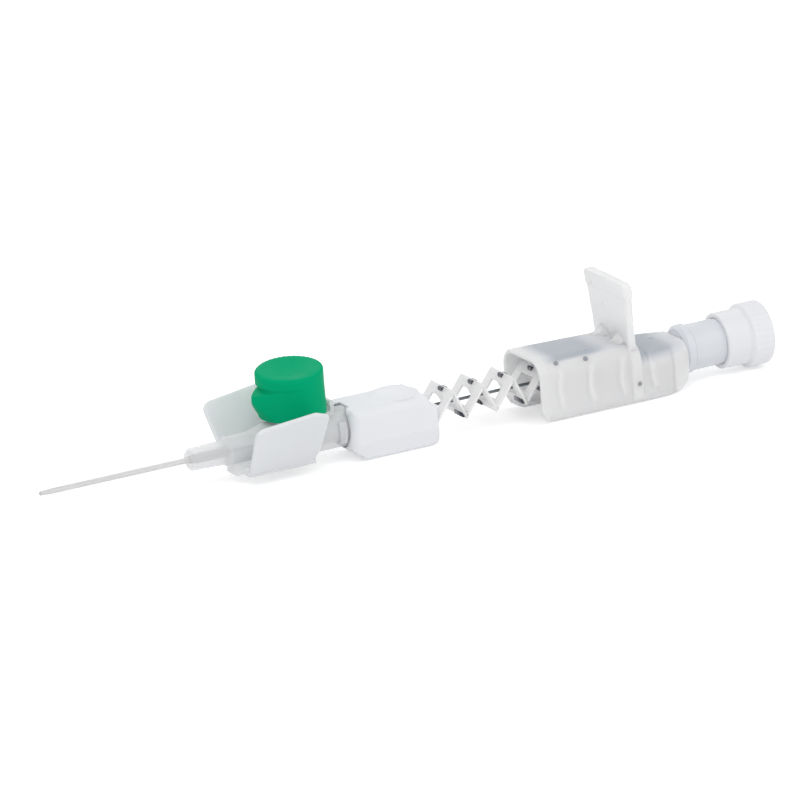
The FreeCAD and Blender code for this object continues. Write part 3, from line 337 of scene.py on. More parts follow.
def sheet_mesh(name, outer, inner, smooth=40.0):
    """Closed wall between two grids of the same size: both grids' cells, and cells from one to the other
    along their four borders."""
    rows, columns = outer.shape[:2]
    index = np.arange(rows * columns).reshape(rows, columns)
    cells = np.stack([index[:-1, :-1], index[:-1, 1:], index[1:, 1:], index[1:, :-1]], -1).reshape(-1, 4)
    around = np.concatenate([index[0, :-1], index[:-1, -1], index[-1, :0:-1], index[:0:-1, 0]])
    ahead = np.roll(around, -1)
    side = np.stack([around, ahead, ahead + index.size, around + index.size], -1)
    points = np.concatenate([outer.reshape(-1, 3), inner.reshape(-1, 3)])
    return faces_mesh(name, points, np.concatenate([cells, cells + index.size, side]), smooth)


def loft_mesh(name, rings, smooth=40.0):
    """Closed solid through a stack of closed rings (rows, columns, 3), its ends shrunk to their middles."""
    shrink = np.linspace(0, 1, 8)[:-1, None, None]
    first, last = rings[0].mean(0), rings[-1].mean(0)
    front = first + (rings[0] - first) * shrink
    back = last + (rings[-1] - last) * shrink[::-1]
    return grid_mesh(name, np.concatenate([front, rings, back]), wrap_columns=True, smooth=smooth)


# Finishes. Each is a node tree on object coordinates; values that are the same all over sit on the shader.


def empty_tree(owner):
    """The owner's node tree, switched on and cleared."""
    owner.use_nodes = True
    owner.node_tree.nodes.clear()
    return owner.node_tree


def add_node(tree, kind, inputs=None, **settings):
    """Node with its settings and inputs. An input is a value, or the output socket that feeds it."""
    node = tree.nodes.new(kind)
    for key, value in settings.items():
        setattr(node, key, value)
    for label, value in (inputs or {}).items():
        if isinstance(value, bpy.types.NodeSocket):
            tree.links.new(value, node.inputs[label])
        else:
            node.inputs[label].default_value = value
    return node


class Finish:
    """One material being built: its nodes are added left to right and end in a Principled shader."""

    def __init__(self, name, roughness, **shader):
        self.material = bpy.data.materials.new(name)
        self.tree = empty_tree(self.material)
        values = {"Roughness": roughness, "Subsurface Radius": (1, 1, 1)}
        for socket, value in shader.items():
            values[socket.replace("_", " ").title().replace("Ior", "IOR")] = value
        self.shader = self.add("ShaderNodeBsdfPrincipled", values)
        self.add("ShaderNodeOutputMaterial", {"Surface": self.shader.outputs["BSDF"]})
        self.place = self.add("ShaderNodeTexCoord").outputs["Object"]
        self.normal = None

    def add(self, kind, inputs=None, **settings):
        """Node in this material's tree."""
        return add_node(self.tree, kind, inputs, **settings)

    def feed(self, value, socket):
        """Links a value to a socket of the shader."""
        self.tree.links.new(value, self.shader.inputs[socket])

    def noise(self, size_mm, detail=3.0, rough=0.5, stretch=None):
        """Noise whose lumps are about size_mm across, or longer along an axis where stretch is above 1."""
        place = self.place
        if stretch:
            scale = tuple(1 / s for s in stretch)
            place = self.add("ShaderNodeMapping", {"Scale": scale, "Vector": place}).outputs["Vector"]
        inputs = {"Scale": 1000 / size_mm, "Detail": detail, "Roughness": rough, "Vector": place}
        return self.add("ShaderNodeTexNoise", inputs).outputs["Fac"]

    def spread(self, value, low, high, from_low=0.3, from_high=0.7):
        """Value mapped from the noise's middle range to low and high."""
        inputs = {"From Min": from_low, "From Max": from_high, "To Min": low, "To Max": high, "Value": value}
        return self.add("ShaderNodeMapRange", inputs).outputs["Result"]

    def tint(self, base, shade, value):
        """Base colour that goes to shade, a factor on it, where value is 1."""
        shaded = (max(0.0, min(1.0, c * s)) for c, s in zip(base, shade))
        inputs = {"A": (*base, 1), "B": (*shaded, 1), "Factor": value}
        self.feed(self.add("ShaderNodeMix", inputs, data_type="RGBA").outputs["Result"], "Base Color")

    def attribute(self, name):
        """A value that the mesh carries at its vertices, from 0 to 1."""
        return self.add("ShaderNodeAttribute", attribute_name=name).outputs["Fac"]

    def rough(self, value):
        """Roughness that varies with the value."""
        self.feed(value, "Roughness")

    def turn(self, node):
        """Takes the shader's normal from the node."""
        self.normal = node.outputs["Normal"]
        self.feed(self.normal, "Normal")

    def soften(self, radius):
        """Rounds the look of every edge by radius."""
        self.turn(self.add("ShaderNodeBevel", {"Radius": radius}, samples=6))

    def bump(self, value, depth_mm):
        """Relief of depth_mm where value goes from 0 to 1, over what was there before."""
        inputs = {"Strength": 1.0, "Distance": depth_mm * MM, "Height": value}
        if self.normal:
            inputs["Normal"] = self.normal
        self.turn(self.add("ShaderNodeBump", inputs))


def moulded(name, base, roughness, soften=0.0, grain_depth=0.004, flow=0.97, **shader):
    """Injection-moulded plastic: a fine grain, broad flow clouds in the colour, and a gloss that varies."""
    made = Finish(name, roughness, **shader)
    if soften:
        made.soften(soften)
    made.tint(base, (flow, flow, flow + 0.004), made.spread(made.noise(9.0, 2.0), 0, 1))
    made.rough(made.spread(made.noise(3.0, 3.0), roughness * 0.85, roughness * 1.15))
    made.bump(made.noise(0.25, 2.0), grain_depth)
    made.bump(made.noise(4.0, 1.0), 0.02)
    return made.material


def brushed_steel(name, base):
    """Drawn steel: scratches along the needle, in relief and in gloss."""
    made = Finish(name, 0.3, metallic=1.0)
    lines = made.noise(0.12, 4.0, 0.6, stretch=(60, 1, 1))
    made.tint(base, (0.8, 0.8, 0.82), made.spread(lines, 0, 1))
    made.rough(made.spread(lines, 0.22, 0.38))
    made.bump(lines, 0.003)
    return made.material


def porous(name, base):
    """Sintered filter: a crumbly grain with dark pores."""
    made = Finish(name, 0.9)
    cells = made.add("ShaderNodeTexVoronoi", {"Scale": 4000, "Vector": made.place}).outputs["Distance"]
    made.tint(base, (0.7, 0.7, 0.68), made.spread(cells, 1, 0, 0.0, 0.6))
    made.bump(cells, 0.05)
    return made.material


def dress(piece, material):
    """Gives a piece or a CAD node its one material."""
    piece.data.materials.clear()
    piece.data.materials.append(material)


def dress_nodes(material, *names):
    """Gives CAD nodes their material."""
    for name in names:
        dress(NODES[name], material)


# Operators, one for each group of pieces


class CannulaOperator:
    """What the operators share: their sizes and colours."""
    bl_options = {"REGISTER", "UNDO"}

    @property
    def sizes(self):
        return bpy.context.scene.cannula_sizes

    @property
    def colours(self):
        return bpy.context.scene.cannula_colours


class CANNULA_OT_needle(CannulaOperator, bpy.types.Operator):
    """Finish the needle, its wedge and the guard's spring clip in steel"""
    bl_idname = "cannula.needle"
    bl_label = "Needle and steel parts"

    def execute(self, context):
        steel = brushed_steel("drawn_steel", self.colours.steel)
        dress_nodes(steel, "needle", "tube_wedge", "guard_clip")
        return {"FINISHED"}


class CANNULA_OT_tube(CannulaOperator, bpy.types.Operator):
    """Finish the catheter tube as a waxy, slightly see-through extrusion"""
    bl_idname = "cannula.tube"
    bl_label = "Catheter tube"

    def execute(self, context):
        made = Finish("tube_extrusion", 0.35, transmission_weight=0.25, ior=1.36, subsurface_weight=0.3,
                      subsurface_scale=0.0004)
        lines = made.noise(0.3, 3.0, 0.5, stretch=(40, 1, 1))
        made.tint(self.colours.tube_white, (0.93, 0.93, 0.94), made.spread(lines, 0, 1))
        made.bump(lines, 0.004)
        dress_nodes(made.material, "catheter_tube")
        return {"FINISHED"}


class CANNULA_OT_hub(CannulaOperator, bpy.types.Operator):
    """Finish the clear hub with the cap's strap, and its silicone valve"""
    bl_idname = "cannula.hub"
    bl_label = "Catheter hub"

    def execute(self, context):
        c = self.colours
        clear = moulded("hub_clear", c.hub_clear, 0.22, grain_depth=0.002, flow=0.98, alpha=0.55)
        valve = moulded("valve_silicone", c.silicone, 0.5, subsurface_weight=0.2, subsurface_scale=0.001)
        dress_nodes(clear, "catheter_hub", "port_strap")
        dress_nodes(valve, "port_valve")
        return {"FINISHED"}


class CANNULA_OT_cap(CannulaOperator, bpy.types.Operator):
    """Make the port cap: a waisted shell with a toothed rim, a dished top and a thumb lip"""
    bl_idname = "cannula.cap"
    bl_label = "Port cap"

    def execute(self, context):
        s = self.sizes
        radius, top, deck = s.cap_radius, s.cap_top, s.cap_deck
        inner = radius - s.cap_wall
        plug_end, plug_radius = 8.0 * MM, 1.9 * MM
        profile = rounded([
            (plug_end, 0, 0),
            (plug_end, plug_radius - 0.6 * MM, 0.3 * MM),
            (plug_end + 0.8 * MM, plug_radius, 0.1 * MM),
            (deck, plug_radius, 0.1 * MM),
            (deck, inner, 0.3 * MM),
            (s.cap_low, inner, 0.15 * MM),
            (s.cap_low, radius - 0.04 * MM, 0.25 * MM),
            (top - s.cap_rim, radius - s.cap_slim, 1.0 * MM),
            (top, radius - s.cap_slim, 0.4 * MM),
            (top, s.cap_dish_radius, 0.05 * MM),
        ], 9)
        fall = np.linspace(0, 1, 24)[1:, None]
        level = top - s.cap_dish_depth * (1 - (1 - fall) ** 2) ** 1.5
        dish = np.hstack([level, s.cap_dish_radius * (1 - fall)])
        profile = spread(np.vstack([profile, dish]), 0.13 * MM, closed=False)
        band = ramp(profile[:, 0], top - 0.6 * MM, 0.3 * MM)
        band = band * ramp(profile[:, 1], radius - 0.7 * MM, 0.25 * MM)
        grid = turned_grid(profile, s.cap_teeth * 8, s.cap_teeth, s.cap_tooth_depth, band, 4.0)
        grid = upright(self.with_rim(self.with_lip(grid)), 0)
        backwards = np.array([0.455, 0.89])     # away from the camera, seen from above
        rise = grid[..., :2] @ backwards / radius * s.cap_slant
        grid[..., 2] += rise * ramp(grid[..., 2], top - 2.5 * MM, 2.2 * MM)
        cap = grid_mesh("cap_shell", grid + (s.port_x, 0, 0), wrap_columns=True)
        hinge = s.port_x + radius + 0.5 * MM
        outline = spread(rounded([
            (hinge - 1.0 * MM, 5.05 * MM, 0.05 * MM),
            (hinge - 0.35 * MM, 5.05 * MM, 0.1 * MM),
            (hinge - 0.5 * MM, 4.6 * MM, 0.1 * MM),
            (hinge - 0.35 * MM, 4.15 * MM, 0.1 * MM),
            (hinge - 1.0 * MM, 4.15 * MM, 0.05 * MM),
        ]), 0.08 * MM)
        slab = soft_slab(outline, -1.2 * MM, 1.2 * MM, 0.08 * MM)
        knuckle = grid_mesh("cap_hinge", slab[..., [0, 2, 1]], wrap_columns=True)
        green = moulded("cap_green", self.colours.cap_green, 0.5, flow=0.94, grain_depth=0.004,
                        specular_ior_level=0.03)
        for piece in (cap, knuckle):
            dress(piece, green)
            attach(piece, "cap")
        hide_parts("port_cap")
        return {"FINISHED"}

    def with_lip(self, grid):
        """The cap's grid with its outside drawn out into the thumb lip. Seen from above, the lip's sides are
        tangents of the cap: at an angle a from the lip's middle they lie at radius / cos(touch - a), where
        cos(touch) = radius / (radius + reach), and a is rounded to sqrt(a^2 + 0.06^2) at the nose. At
        each height the lip stands out by no more than its side view, which rises from the skirt to its edge
        and closes again 0.8 mm above it."""
        s = self.sizes
        up, forward, across = np.moveaxis(grid, -1, 0)
        angle = np.sqrt(np.arctan2(across, -forward) ** 2 + 0.06 ** 2)
        touch = math.acos(s.cap_radius / (s.cap_radius + s.lip_reach))
        wedge = s.cap_radius / np.cos(np.clip(touch - angle, 0, touch)) - s.cap_radius
        height = np.array([s.cap_low + 0.4 * MM, s.lip_edge - 0.2 * MM, s.lip_edge, s.lip_edge + 0.25 * MM,
                           s.lip_edge + 0.8 * MM])
        side = np.interp(up, height, s.lip_reach * np.array([0.03, 0.95, 1.0, 0.93, 0.0]))
        return drawn_out(grid, np.minimum(wedge, side), s.cap_radius - 0.5 * MM)

    def with_rim(self, grid):
        """The cap's grid with its rim drawn out by twice cap_slim, fully between the lip's side and the far
        side and not at all opposite, as (0.5 + 0.5 cos(a))^2 of the angle a from there."""
        s = self.sizes
        up, forward, across = np.moveaxis(grid, -1, 0)
        share = (0.5 + 0.5 * np.cos(np.arctan2(across, forward) - math.radians(150))) ** 2
        rise = ramp(up, s.cap_top - s.cap_rim, 0.35 * MM)
        close = ramp(-up, -s.cap_top - 0.1 * MM, 0.5 * MM)
        extra = 2 * s.cap_slim * share * np.minimum(rise, close)
        return drawn_out(grid, extra, s.cap_radius - 0.7 * MM)


class CANNULA_OT_wings(CannulaOperator, bpy.types.Operator):
    """Make both wings: thin soft-edged plates with a bead along the film hinge"""
    bl_idname = "cannula.wings"
    bl_label = "Wings"

    def execute(self, context):
        s = self.sizes
        end = s.wing_start + s.wing_length
        span = s.wing_rear_span
        outline = spread(rounded([
            (s.wing_start + s.wing_step, -0.2 * MM, 0.2 * MM),
            (s.wing_start, s.wing_front_span, 1.8 * MM),
            (end - s.wing_length / 5, span, 1.8 * MM),
            (end, span * 0.9, 0.9 * MM),
            (end, span * 0.22, 0.9 * MM),
            (end - s.wing_length / 12, -0.2 * MM, 0.2 * MM),
        ], 8), 0.25 * MM)
        slab = soft_slab(outline, -s.wing_thick / 2, s.wing_thick / 2, s.wing_thick * 0.42, fill=14)
        raised = math.radians(58)
        material = moulded("wing_clear", self.colours.wing_clear, 0.38, grain_depth=0.006, flow=0.975,
                           alpha=0.86, subsurface_weight=0.2, subsurface_scale=0.002)
        root, tail = s.wing_start + s.wing_step, end - s.wing_length / 12
        bead_radius = 0.45 * MM
        bead = turned_grid(rounded([
            (root, 0, 0),
            (root, bead_radius, 0.12 * MM),
            (tail, bead_radius, 0.12 * MM),
            (tail, 0, 0),
        ])[:-6], 24)
        for name, body, side in (("wing_left", "left_wing", 1), ("wing_right", "right_wing", -1)):
            for label, grid in (("plate", slab), ("bead", bead)):
                x, across, up = np.moveaxis(grid, -1, 0)
                y = across * math.cos(raised) - up * math.sin(raised) + s.wing_hinge_y
                z = across * math.sin(raised) + up * math.cos(raised) - s.wing_hinge_z
                piece = grid_mesh(f"{name}_{label}", np.stack([x, side * y, z], -1), wrap_columns=True)
                dress(piece, material)
                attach(piece, body)
                if label == "plate":
                    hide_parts(name)
        return {"FINISHED"}


class CANNULA_OT_guard(CannulaOperator, bpy.types.Operator):
    """Finish the white tip guard with its nose and back plate"""
    bl_idname = "cannula.guard"
    bl_label = "Tip guard"

    def execute(self, context):
        white = moulded("guard_white", self.colours.guard_white, 0.4, self.sizes.edge_softness, flow=0.985,
                        subsurface_weight=0.15, subsurface_scale=0.0015)
        dress_nodes(white, "guard_housing", "guard_nose", "guard_back_plate")
        return {"FINISHED"}


class CANNULA_OT_strip(CannulaOperator, bpy.types.Operator):
    """Make the folding strip, a zigzag of framed panels, and the dark knuckles on its folds"""
    bl_idname = "cannula.strip"
    bl_label = "Folding strip"

    def folds(self):
        """Fold lines (x, z): bottom folds at a pitch, with a top fold a lead before each following one."""
        s = self.sizes
        pair = np.arange(s.panel_pairs)
        low = np.stack([s.strip_start + pair * s.fold_pitch, np.full(len(pair), -s.fold_low)], 1)
        top = np.stack([low[:, 0] + s.fold_pitch - s.fold_lead, np.full(len(pair), s.fold_top)], 1)
        last = [[s.strip_start + s.panel_pairs * s.fold_pitch, -s.fold_low]]
        return np.vstack([np.stack([low, top], 1).reshape(-1, 2), last])

    def execute(self, context):
        s = self.sizes
        folds = self.folds()
        panels = np.arange(len(folds))
        margin = s.window_margin / np.linalg.norm(np.diff(folds, axis=0), axis=1).mean()
        part = np.array([0, 0.04, margin * 0.5, margin, 0.32, 0.5, 0.68, 1 - margin, 1 - margin * 0.5, 0.96])
        run = np.append((panels[:-1, None] + part).ravel(), panels[-1])
        x, z = (np.interp(run, panels, line) for line in folds.T)
        x = np.concatenate([[x[0] - s.strip_stub], x, [x[-1] + s.strip_stub]])
        z = np.concatenate([z[:1], z, z[-1:]])
        run = np.concatenate([[-0.01], run, [panels[-1] + 0.01]])
        half, window = s.strip_half_width, s.window_half_width
        side = np.array([window * 0.5, window, 0.5 * (half + window), half - 0.1 * MM, half])
        across = np.concatenate([-side[::-1], [0], side])
        points = np.stack(np.broadcast_arrays(x[:, None], across, z[:, None]), -1)
        middle_run = (run[:-1] + run[1:]) / 2 % 1
        middle_across = (across[:-1] + across[1:]) / 2
        inside = (middle_run > margin) & (middle_run < 1 - margin)
        keep = ~(inside[:, None] & (np.abs(middle_across) < window))
        strip = grid_mesh("strip_panels", points, keep=keep, smooth=180)
        wall = strip.modifiers.new("wall", "SOLIDIFY")
        wall.thickness, wall.offset, wall.use_even_offset = s.strip_thick, 0, True
        edge = strip.modifiers.new("edge", "BEVEL")
        edge.width, edge.segments, edge.limit_method = 0.05 * MM, 2, "ANGLE"
        edge.angle_limit = math.radians(50)
        clear = moulded("strip_clear", self.colours.strip_clear, 0.3, grain_depth=0.003, flow=0.97, alpha=0.8)
        dress(strip, clear)
        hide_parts("folding_strip")
        marks = self.knuckles(folds)
        dark = moulded("mark_dark", self.colours.mark_dark, 0.25, flow=0.7, coat_weight=0.3)
        dress(marks, dark)
        for piece in (strip, marks):
            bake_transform(piece)
        return {"FINISHED"}

    def knuckles(self, folds):
        """Bars just inside the folds: a short one in the middle of each top fold, and one on half of each
        bottom fold, the halves taken in turn. A bar's ring at angle a is its centre plus half the length
        times cos(a) and half the height times sin(a), each raised to the power 0.35 with its sign kept,
        which gives a rectangle with soft corners, and its two ends close to a point."""
        s = self.sizes
        order = np.arange(1, len(folds) - 1)[:, None, None]
        top, near = order % 2 == 1, order % 4 == 2
        short, inner, outer = 0.65 * MM, 0.5 * MM, 3.3 * MM
        low = np.where(top, -short, np.where(near, -outer, inner))
        high = np.where(top, short, np.where(near, -inner, outer))
        angle = np.linspace(0, 2 * np.pi, 32, endpoint=False)
        station = np.array([0, 0, 0.03, 0.97, 1, 1])[:, None]
        size = np.array([0, 0.88, 1, 1, 0.88, 0])[:, None]
        ring, rise = (np.sign(wave) * np.abs(wave) ** 0.35 for wave in (np.cos(angle), np.sin(angle)))
        x, z = folds[1:-1].T[..., None, None]
        inward = np.where(top, -0.2, 0.2) * MM
        x = x + size * ring * s.mark_long / 2
        y = low + (high - low) * station
        z = z + inward + size * rise * s.mark_high / 2
        return stacks_mesh("strip_knuckles", np.stack(np.broadcast_arrays(x, y, z), -1))


class CANNULA_OT_barrel(CannulaOperator, bpy.types.Operator):
    """Make the grip barrel: a channel with ribs and a rounded tail, its finger tab and the tab's foot"""
    bl_idname = "cannula.barrel"
    bl_label = "Grip barrel"

    def section(self, x, inset):
        """Half sections (y, z) of the barrel at the places x, drawn in by inset: from the middle of the
        roof over the upper corner, down the side and round the lower corner to the slot. The roof falls
        from the front to the tab and steps down behind it. Seen from the side the lower corners rise by
        radius - sqrt(radius^2 - (radius - distance)^2). Where they rise by more than the wall in front,
        only the side wall is left, and the lower corner's turn ends at 0.4. The tail narrows along a
        cosine."""
        s = self.sizes
        x, inset = x[:, None], inset[:, None]
        tail = s.tab_x + 3 * MM
        step = ease(x, tail - 1.8 * MM, 1.6 * MM)
        roof = s.barrel_top - s.roof_fall * (x - s.barrel_front) / (tail - s.barrel_front)
        top = roof * (1 - step) + s.barrel_tail_top * step - inset
        near_end = np.minimum(x - s.barrel_front, s.barrel_rear - x)
        reach = np.clip(s.barrel_corner - near_end, 0, s.barrel_corner)
        rise = s.barrel_corner - np.sqrt(s.barrel_corner ** 2 - reach ** 2)
        bare = ramp(rise, 0, s.barrel_wall) * (x < s.tab_x)
        low = -s.barrel_sole + rise + inset * (1 - bare)
        half = s.barrel_half_width - s.tail_narrowing * ease(x, tail + 1.5 * MM, 9.5 * MM) - inset
        upper = s.barrel_round - 0.5 * MM * step - inset
        lower = s.barrel_low_round - inset
        turn = np.linspace(np.pi / 2, 0, 14)[None, :]
        last = np.pi / 2 * (1 - bare) + 0.4 * bare
        under = last * np.linspace(0, 1, 14)[None, :]
        across = np.linspace(0, 1, 9)[None, :-1]
        down = np.linspace(0, 1, 24)[None, 1:-1]
        foot = low + lower * np.sin(last)
        y = np.concatenate([
            (half - upper) * across,
            half - upper + upper * np.cos(turn),
            half + 0 * down,
            half - lower + lower * np.cos(under),
        ], 1)
        z = np.concatenate([
            top + 0 * across,
            top - upper + upper * np.sin(turn),
            (top - upper) * (1 - down) + foot * down,
            foot - lower * np.sin(under),
        ], 1)
        return y, z

    def relief(self, x, z):
        """How far the side stands out: four ribs bent along circles, each a bell exp(-(distance / width)^2)
        that is steep in front and gentle behind and fades at its ends, and the band under the finger tab."""
        s = self.sizes
        bend = s.rib_bend - np.sqrt(np.maximum(s.rib_bend ** 2 - z ** 2, 0))
        off = x - s.rib_first - np.arange(4)[:, None, None] * s.rib_pitch - bend
        steep, gentle = 0.24 * MM, 0.62 * MM
        width = np.where(off < 0, steep, gentle)
        fade = ramp(-np.abs(z), -s.rib_half_length, 0.9 * MM) ** 0.5
        ribs = (s.rib_proud * np.exp(-(off / width) ** 2) * fade).max(0)
        band_middle, band_half, band_proud = s.tab_x + 0.2 * MM, 1.0 * MM, 0.36 * MM
        band = band_proud * ramp(-np.abs(x - band_middle), -band_half, 0.25 * MM)
        return np.maximum(ribs, band) - s.side_draw

    def rings(self, x, inset, raised=True):
        """Grid (places, loop, 3) of whole sections, from one side of the slot over the roof to the other."""
        y, z = self.section(x, inset)
        x = np.broadcast_to(x[:, None], y.shape)
        if raised:
            on_wall = (y > 4.6 * MM) & (z > -4.4 * MM)
            y = y + self.relief(x, z) * on_wall
        half = np.stack([x, y, z], -1)
        return np.concatenate([half[:, :0:-1], half * (1, -1, 1)], 1)

    def shell(self):
        """The channel: sections with a rounded front edge, and the same drawn in by the wall."""
        s = self.sizes
        edge = 0.22 * MM
        turn = np.linspace(0, np.pi / 2, 6)[:-1]
        x = np.concatenate([s.barrel_front + edge * (1 - np.cos(turn)),
                            np.linspace(s.barrel_front + edge, s.barrel_slot_end, 130)])
        soft = np.concatenate([edge * (1 - np.sin(turn)), np.zeros(130)])
        inside = self.rings(x, s.barrel_wall - soft, raised=False)
        return sheet_mesh("barrel_shell", self.rings(x, soft), inside, 60)

    def tail(self):
        """The closed block behind the slot, a hair inside the channel where they overlap by its wall."""
        s = self.sizes
        edge = 0.7 * MM
        turn = np.linspace(0, np.pi / 2, 8)
        x = np.concatenate([np.linspace(s.barrel_slot_end - s.barrel_wall, s.barrel_rear - edge, 24),
                            s.barrel_rear - edge + edge * np.sin(turn[1:])])
        inset = np.concatenate([np.full(24, 0.012 * MM), edge * (1 - np.cos(turn[1:]))])
        return loft_mesh("barrel_tail", self.rings(x, inset), 60)

    def tab(self):
        """The tab: a soft slab widening upwards, moved forwards by tan(4 degrees) for each unit of height,
        and 1.28 times as thick in its top band."""
        s = self.sizes
        outline = spread(rounded([
            (-5.75 * MM, 3.3 * MM, 0.2 * MM),
            (5.75 * MM, 3.3 * MM, 0.2 * MM),
            (5.8 * MM, 6.6 * MM, 6 * MM),
            (6.65 * MM, s.tab_top - 0.2 * MM, 1.1 * MM),
            (5.6 * MM, s.tab_top, 0.8 * MM),
            (-5.6 * MM, s.tab_top, 0.8 * MM),
            (-6.65 * MM, s.tab_top - 0.2 * MM, 1.1 * MM),
            (-5.8 * MM, 6.6 * MM, 6 * MM),
        ], 8), 0.2 * MM)
        slab = soft_slab(outline, -s.tab_thick / 2, s.tab_thick / 2, 0.3 * MM, fill=16)
        up = slab[..., 1]
        thick = slab[..., 2] * (1 + 0.28 * ramp(up, s.tab_top - 2.7 * MM, 0.35 * MM))
        x = s.tab_x + thick - math.tan(math.radians(4)) * (up - 4.5 * MM)
        return grid_mesh("finger_tab", np.stack([x, slab[..., 0], up], -1), wrap_columns=True)

    def foot(self):
        """The foot in front of the tab, hollowed by an arch: a loft across the tab whose profile rises from
        its toe, at reach (1 - t)^2.2 before the tab, as t^1.6. Inside the arch the reach loses
        0.85 sqrt(1 - (y / arch_half)^2) of itself, and both fade at the foot's sides."""
        s = self.sizes
        half, arch_half = 4.2 * MM, 2.2 * MM
        y = np.linspace(-half, half, 61)
        arch = np.sqrt(np.clip(1 - (y / arch_half) ** 2, 0, 1))
        fade = np.sqrt(np.clip(1 - (y / (half + 0.05 * MM)) ** 6, 0, 1))
        reach = s.tab_foot * fade * (1 - 0.85 * arch)
        t = np.linspace(0, 1, 14)[None, :]
        front = s.tab_x - s.tab_thick / 2 + 0.1 * MM
        rear, low = front + 0.3 * MM, 4.3 * MM
        x = front - reach[:, None] * (1 - t) ** 2.2
        z = 4.55 * MM + s.tab_foot * fade[:, None] * t ** 1.6 + 0 * x
        same = np.ones((len(y), 1))
        x = np.concatenate([x, rear * same, rear * same, x[:, :1]], 1)
        z = np.concatenate([z, 6.0 * MM * same, low * same, low * same], 1)
        return loft_mesh("tab_foot", np.stack(np.broadcast_arrays(x, y[:, None], z), -1))

    def finish(self):
        """Milky plastic with painted shade: greyer on the roof, where the mesh's roof value is 1, for the
        darker inside seen through it, and a little greyer between the grip ribs, so that their crests look
        lit.
        """
        c = self.colours
        made = Finish("barrel_clear", 0.3, alpha=0.82, subsurface_weight=0.9, subsurface_scale=0.0015)
        # The grey mixed in by the roof value is painted shade, not a colour of the plastic.
        shade = tuple(a / b for a, b in zip(c.roof_painted_shade, c.barrel_clear))
        made.tint(c.barrel_clear, shade, made.attribute("roof"))
        made.rough(made.spread(made.noise(3.0, 3.0), 0.27, 0.34))
        made.bump(made.noise(0.25, 2.0), 0.003)
        return made.material

    def paint_roof_shade(self, piece):
        """Writes the roof value, the share of painted shade on the barrel: 1 above a level that steps down
        behind the tab, with a short ramp. It fades in behind the front edge, and to a third under the tab's
        foot and at the rear, where the roof is painted lighter. Lower down it is 0.1 between the ribs and 0
        on their crests, painted shade that makes the crests look lit."""
        s = self.sizes
        flat = np.empty(len(piece.data.vertices) * 3, np.float32)
        piece.data.vertices.foreach_get("co", flat)
        x, z = flat[0::3], flat[2::3]
        behind = x > s.tab_x + MM
        level, width = np.where(behind, 0.9 * MM, 4.0 * MM), np.where(behind, 1.4 * MM, 0.4 * MM)
        value = ramp(z, level, width)
        # How much painted shade lies along the barrel: less behind the front edge, under the tab's foot and
        # at the rear, where the roof is painted lighter.
        place = np.array([60.5, 63.0, 69.5, 72.5, 76.9, 77.0, 82.0, 86.0]) * MM
        along = np.interp(x, place, [0.1, 1.0, 1.0, 0.35, 0.35, 1.0, 0.9, 0.2])
        # Painted shade between the grip ribs and none on their crests, so that the crests look lit.
        ribs = ramp(self.relief(x[None], z[None])[0], 0, 0.25 * MM)
        layer = piece.data.attributes.new("roof", "FLOAT", "POINT")
        layer.data.foreach_set("value", np.maximum(value * along, 0.1 * (1 - ribs)).astype(np.float32))

    def execute(self, context):
        clear = self.finish()
        shell, tail = self.shell(), self.tail()
        # Painted shade on the roof and between the ribs, kept as the mesh's roof value.
        self.paint_roof_shade(shell)
        self.paint_roof_shade(tail)
        grey = moulded("dot_grey", self.colours.dot_grey, 0.3)
        for piece, finish in ((shell, clear), (tail, clear), (self.tab(), clear), (self.foot(), clear),
                              (self.dots(), grey)):
            dress(piece, finish)
            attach(piece, "needle_unit")
        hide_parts("grip_barrel")
        white = moulded("anchor_white", self.colours.vent_white, 0.4)
        dress_nodes(white, "strip_anchor", "needle_hub")
        return {"FINISHED"}

    def dots(self):
        """Small moulded domes on both side walls, each given by its place and t. A dome stands on the wall's
        normal (0, cos t, sin t): the ring at angle a of its quarter turn b lies radius sin(b) from its
        middle and 0.15 mm cos(b) proud. Its last ring lies 0.2 mm inside the wall."""
        s = self.sizes
        x, y, z, tilt = np.array([
            (62.6 * MM, 5.27 * MM, 4.15 * MM, math.radians(47)),
            (67.7 * MM, 5.50 * MM, 3.91 * MM, math.radians(41)),
            (76.4 * MM, 6.60 * MM, -1.80 * MM, 0),
        ]).T[:, :, None, None]
        angle = np.linspace(0, 2 * np.pi, 24, endpoint=False)
        quarter = np.linspace(0, np.pi / 2, 6)
        out = s.dot_radius * np.append(np.sin(quarter), [1, 0])[:, None]
        proud = np.append(0.15 * MM * np.cos(quarter), [-0.2 * MM, -0.2 * MM])[:, None]
        rise = out * np.sin(angle)
        x = x + out * np.cos(angle)
        y = y + proud * np.cos(tilt) - rise * np.sin(tilt)
        z = z + proud * np.sin(tilt) + rise * np.cos(tilt)
        dome = np.stack(np.broadcast_arrays(x, y, z), -1)
        return stacks_mesh("barrel_dots", np.concatenate([dome, dome * (1, -1, 1)]))


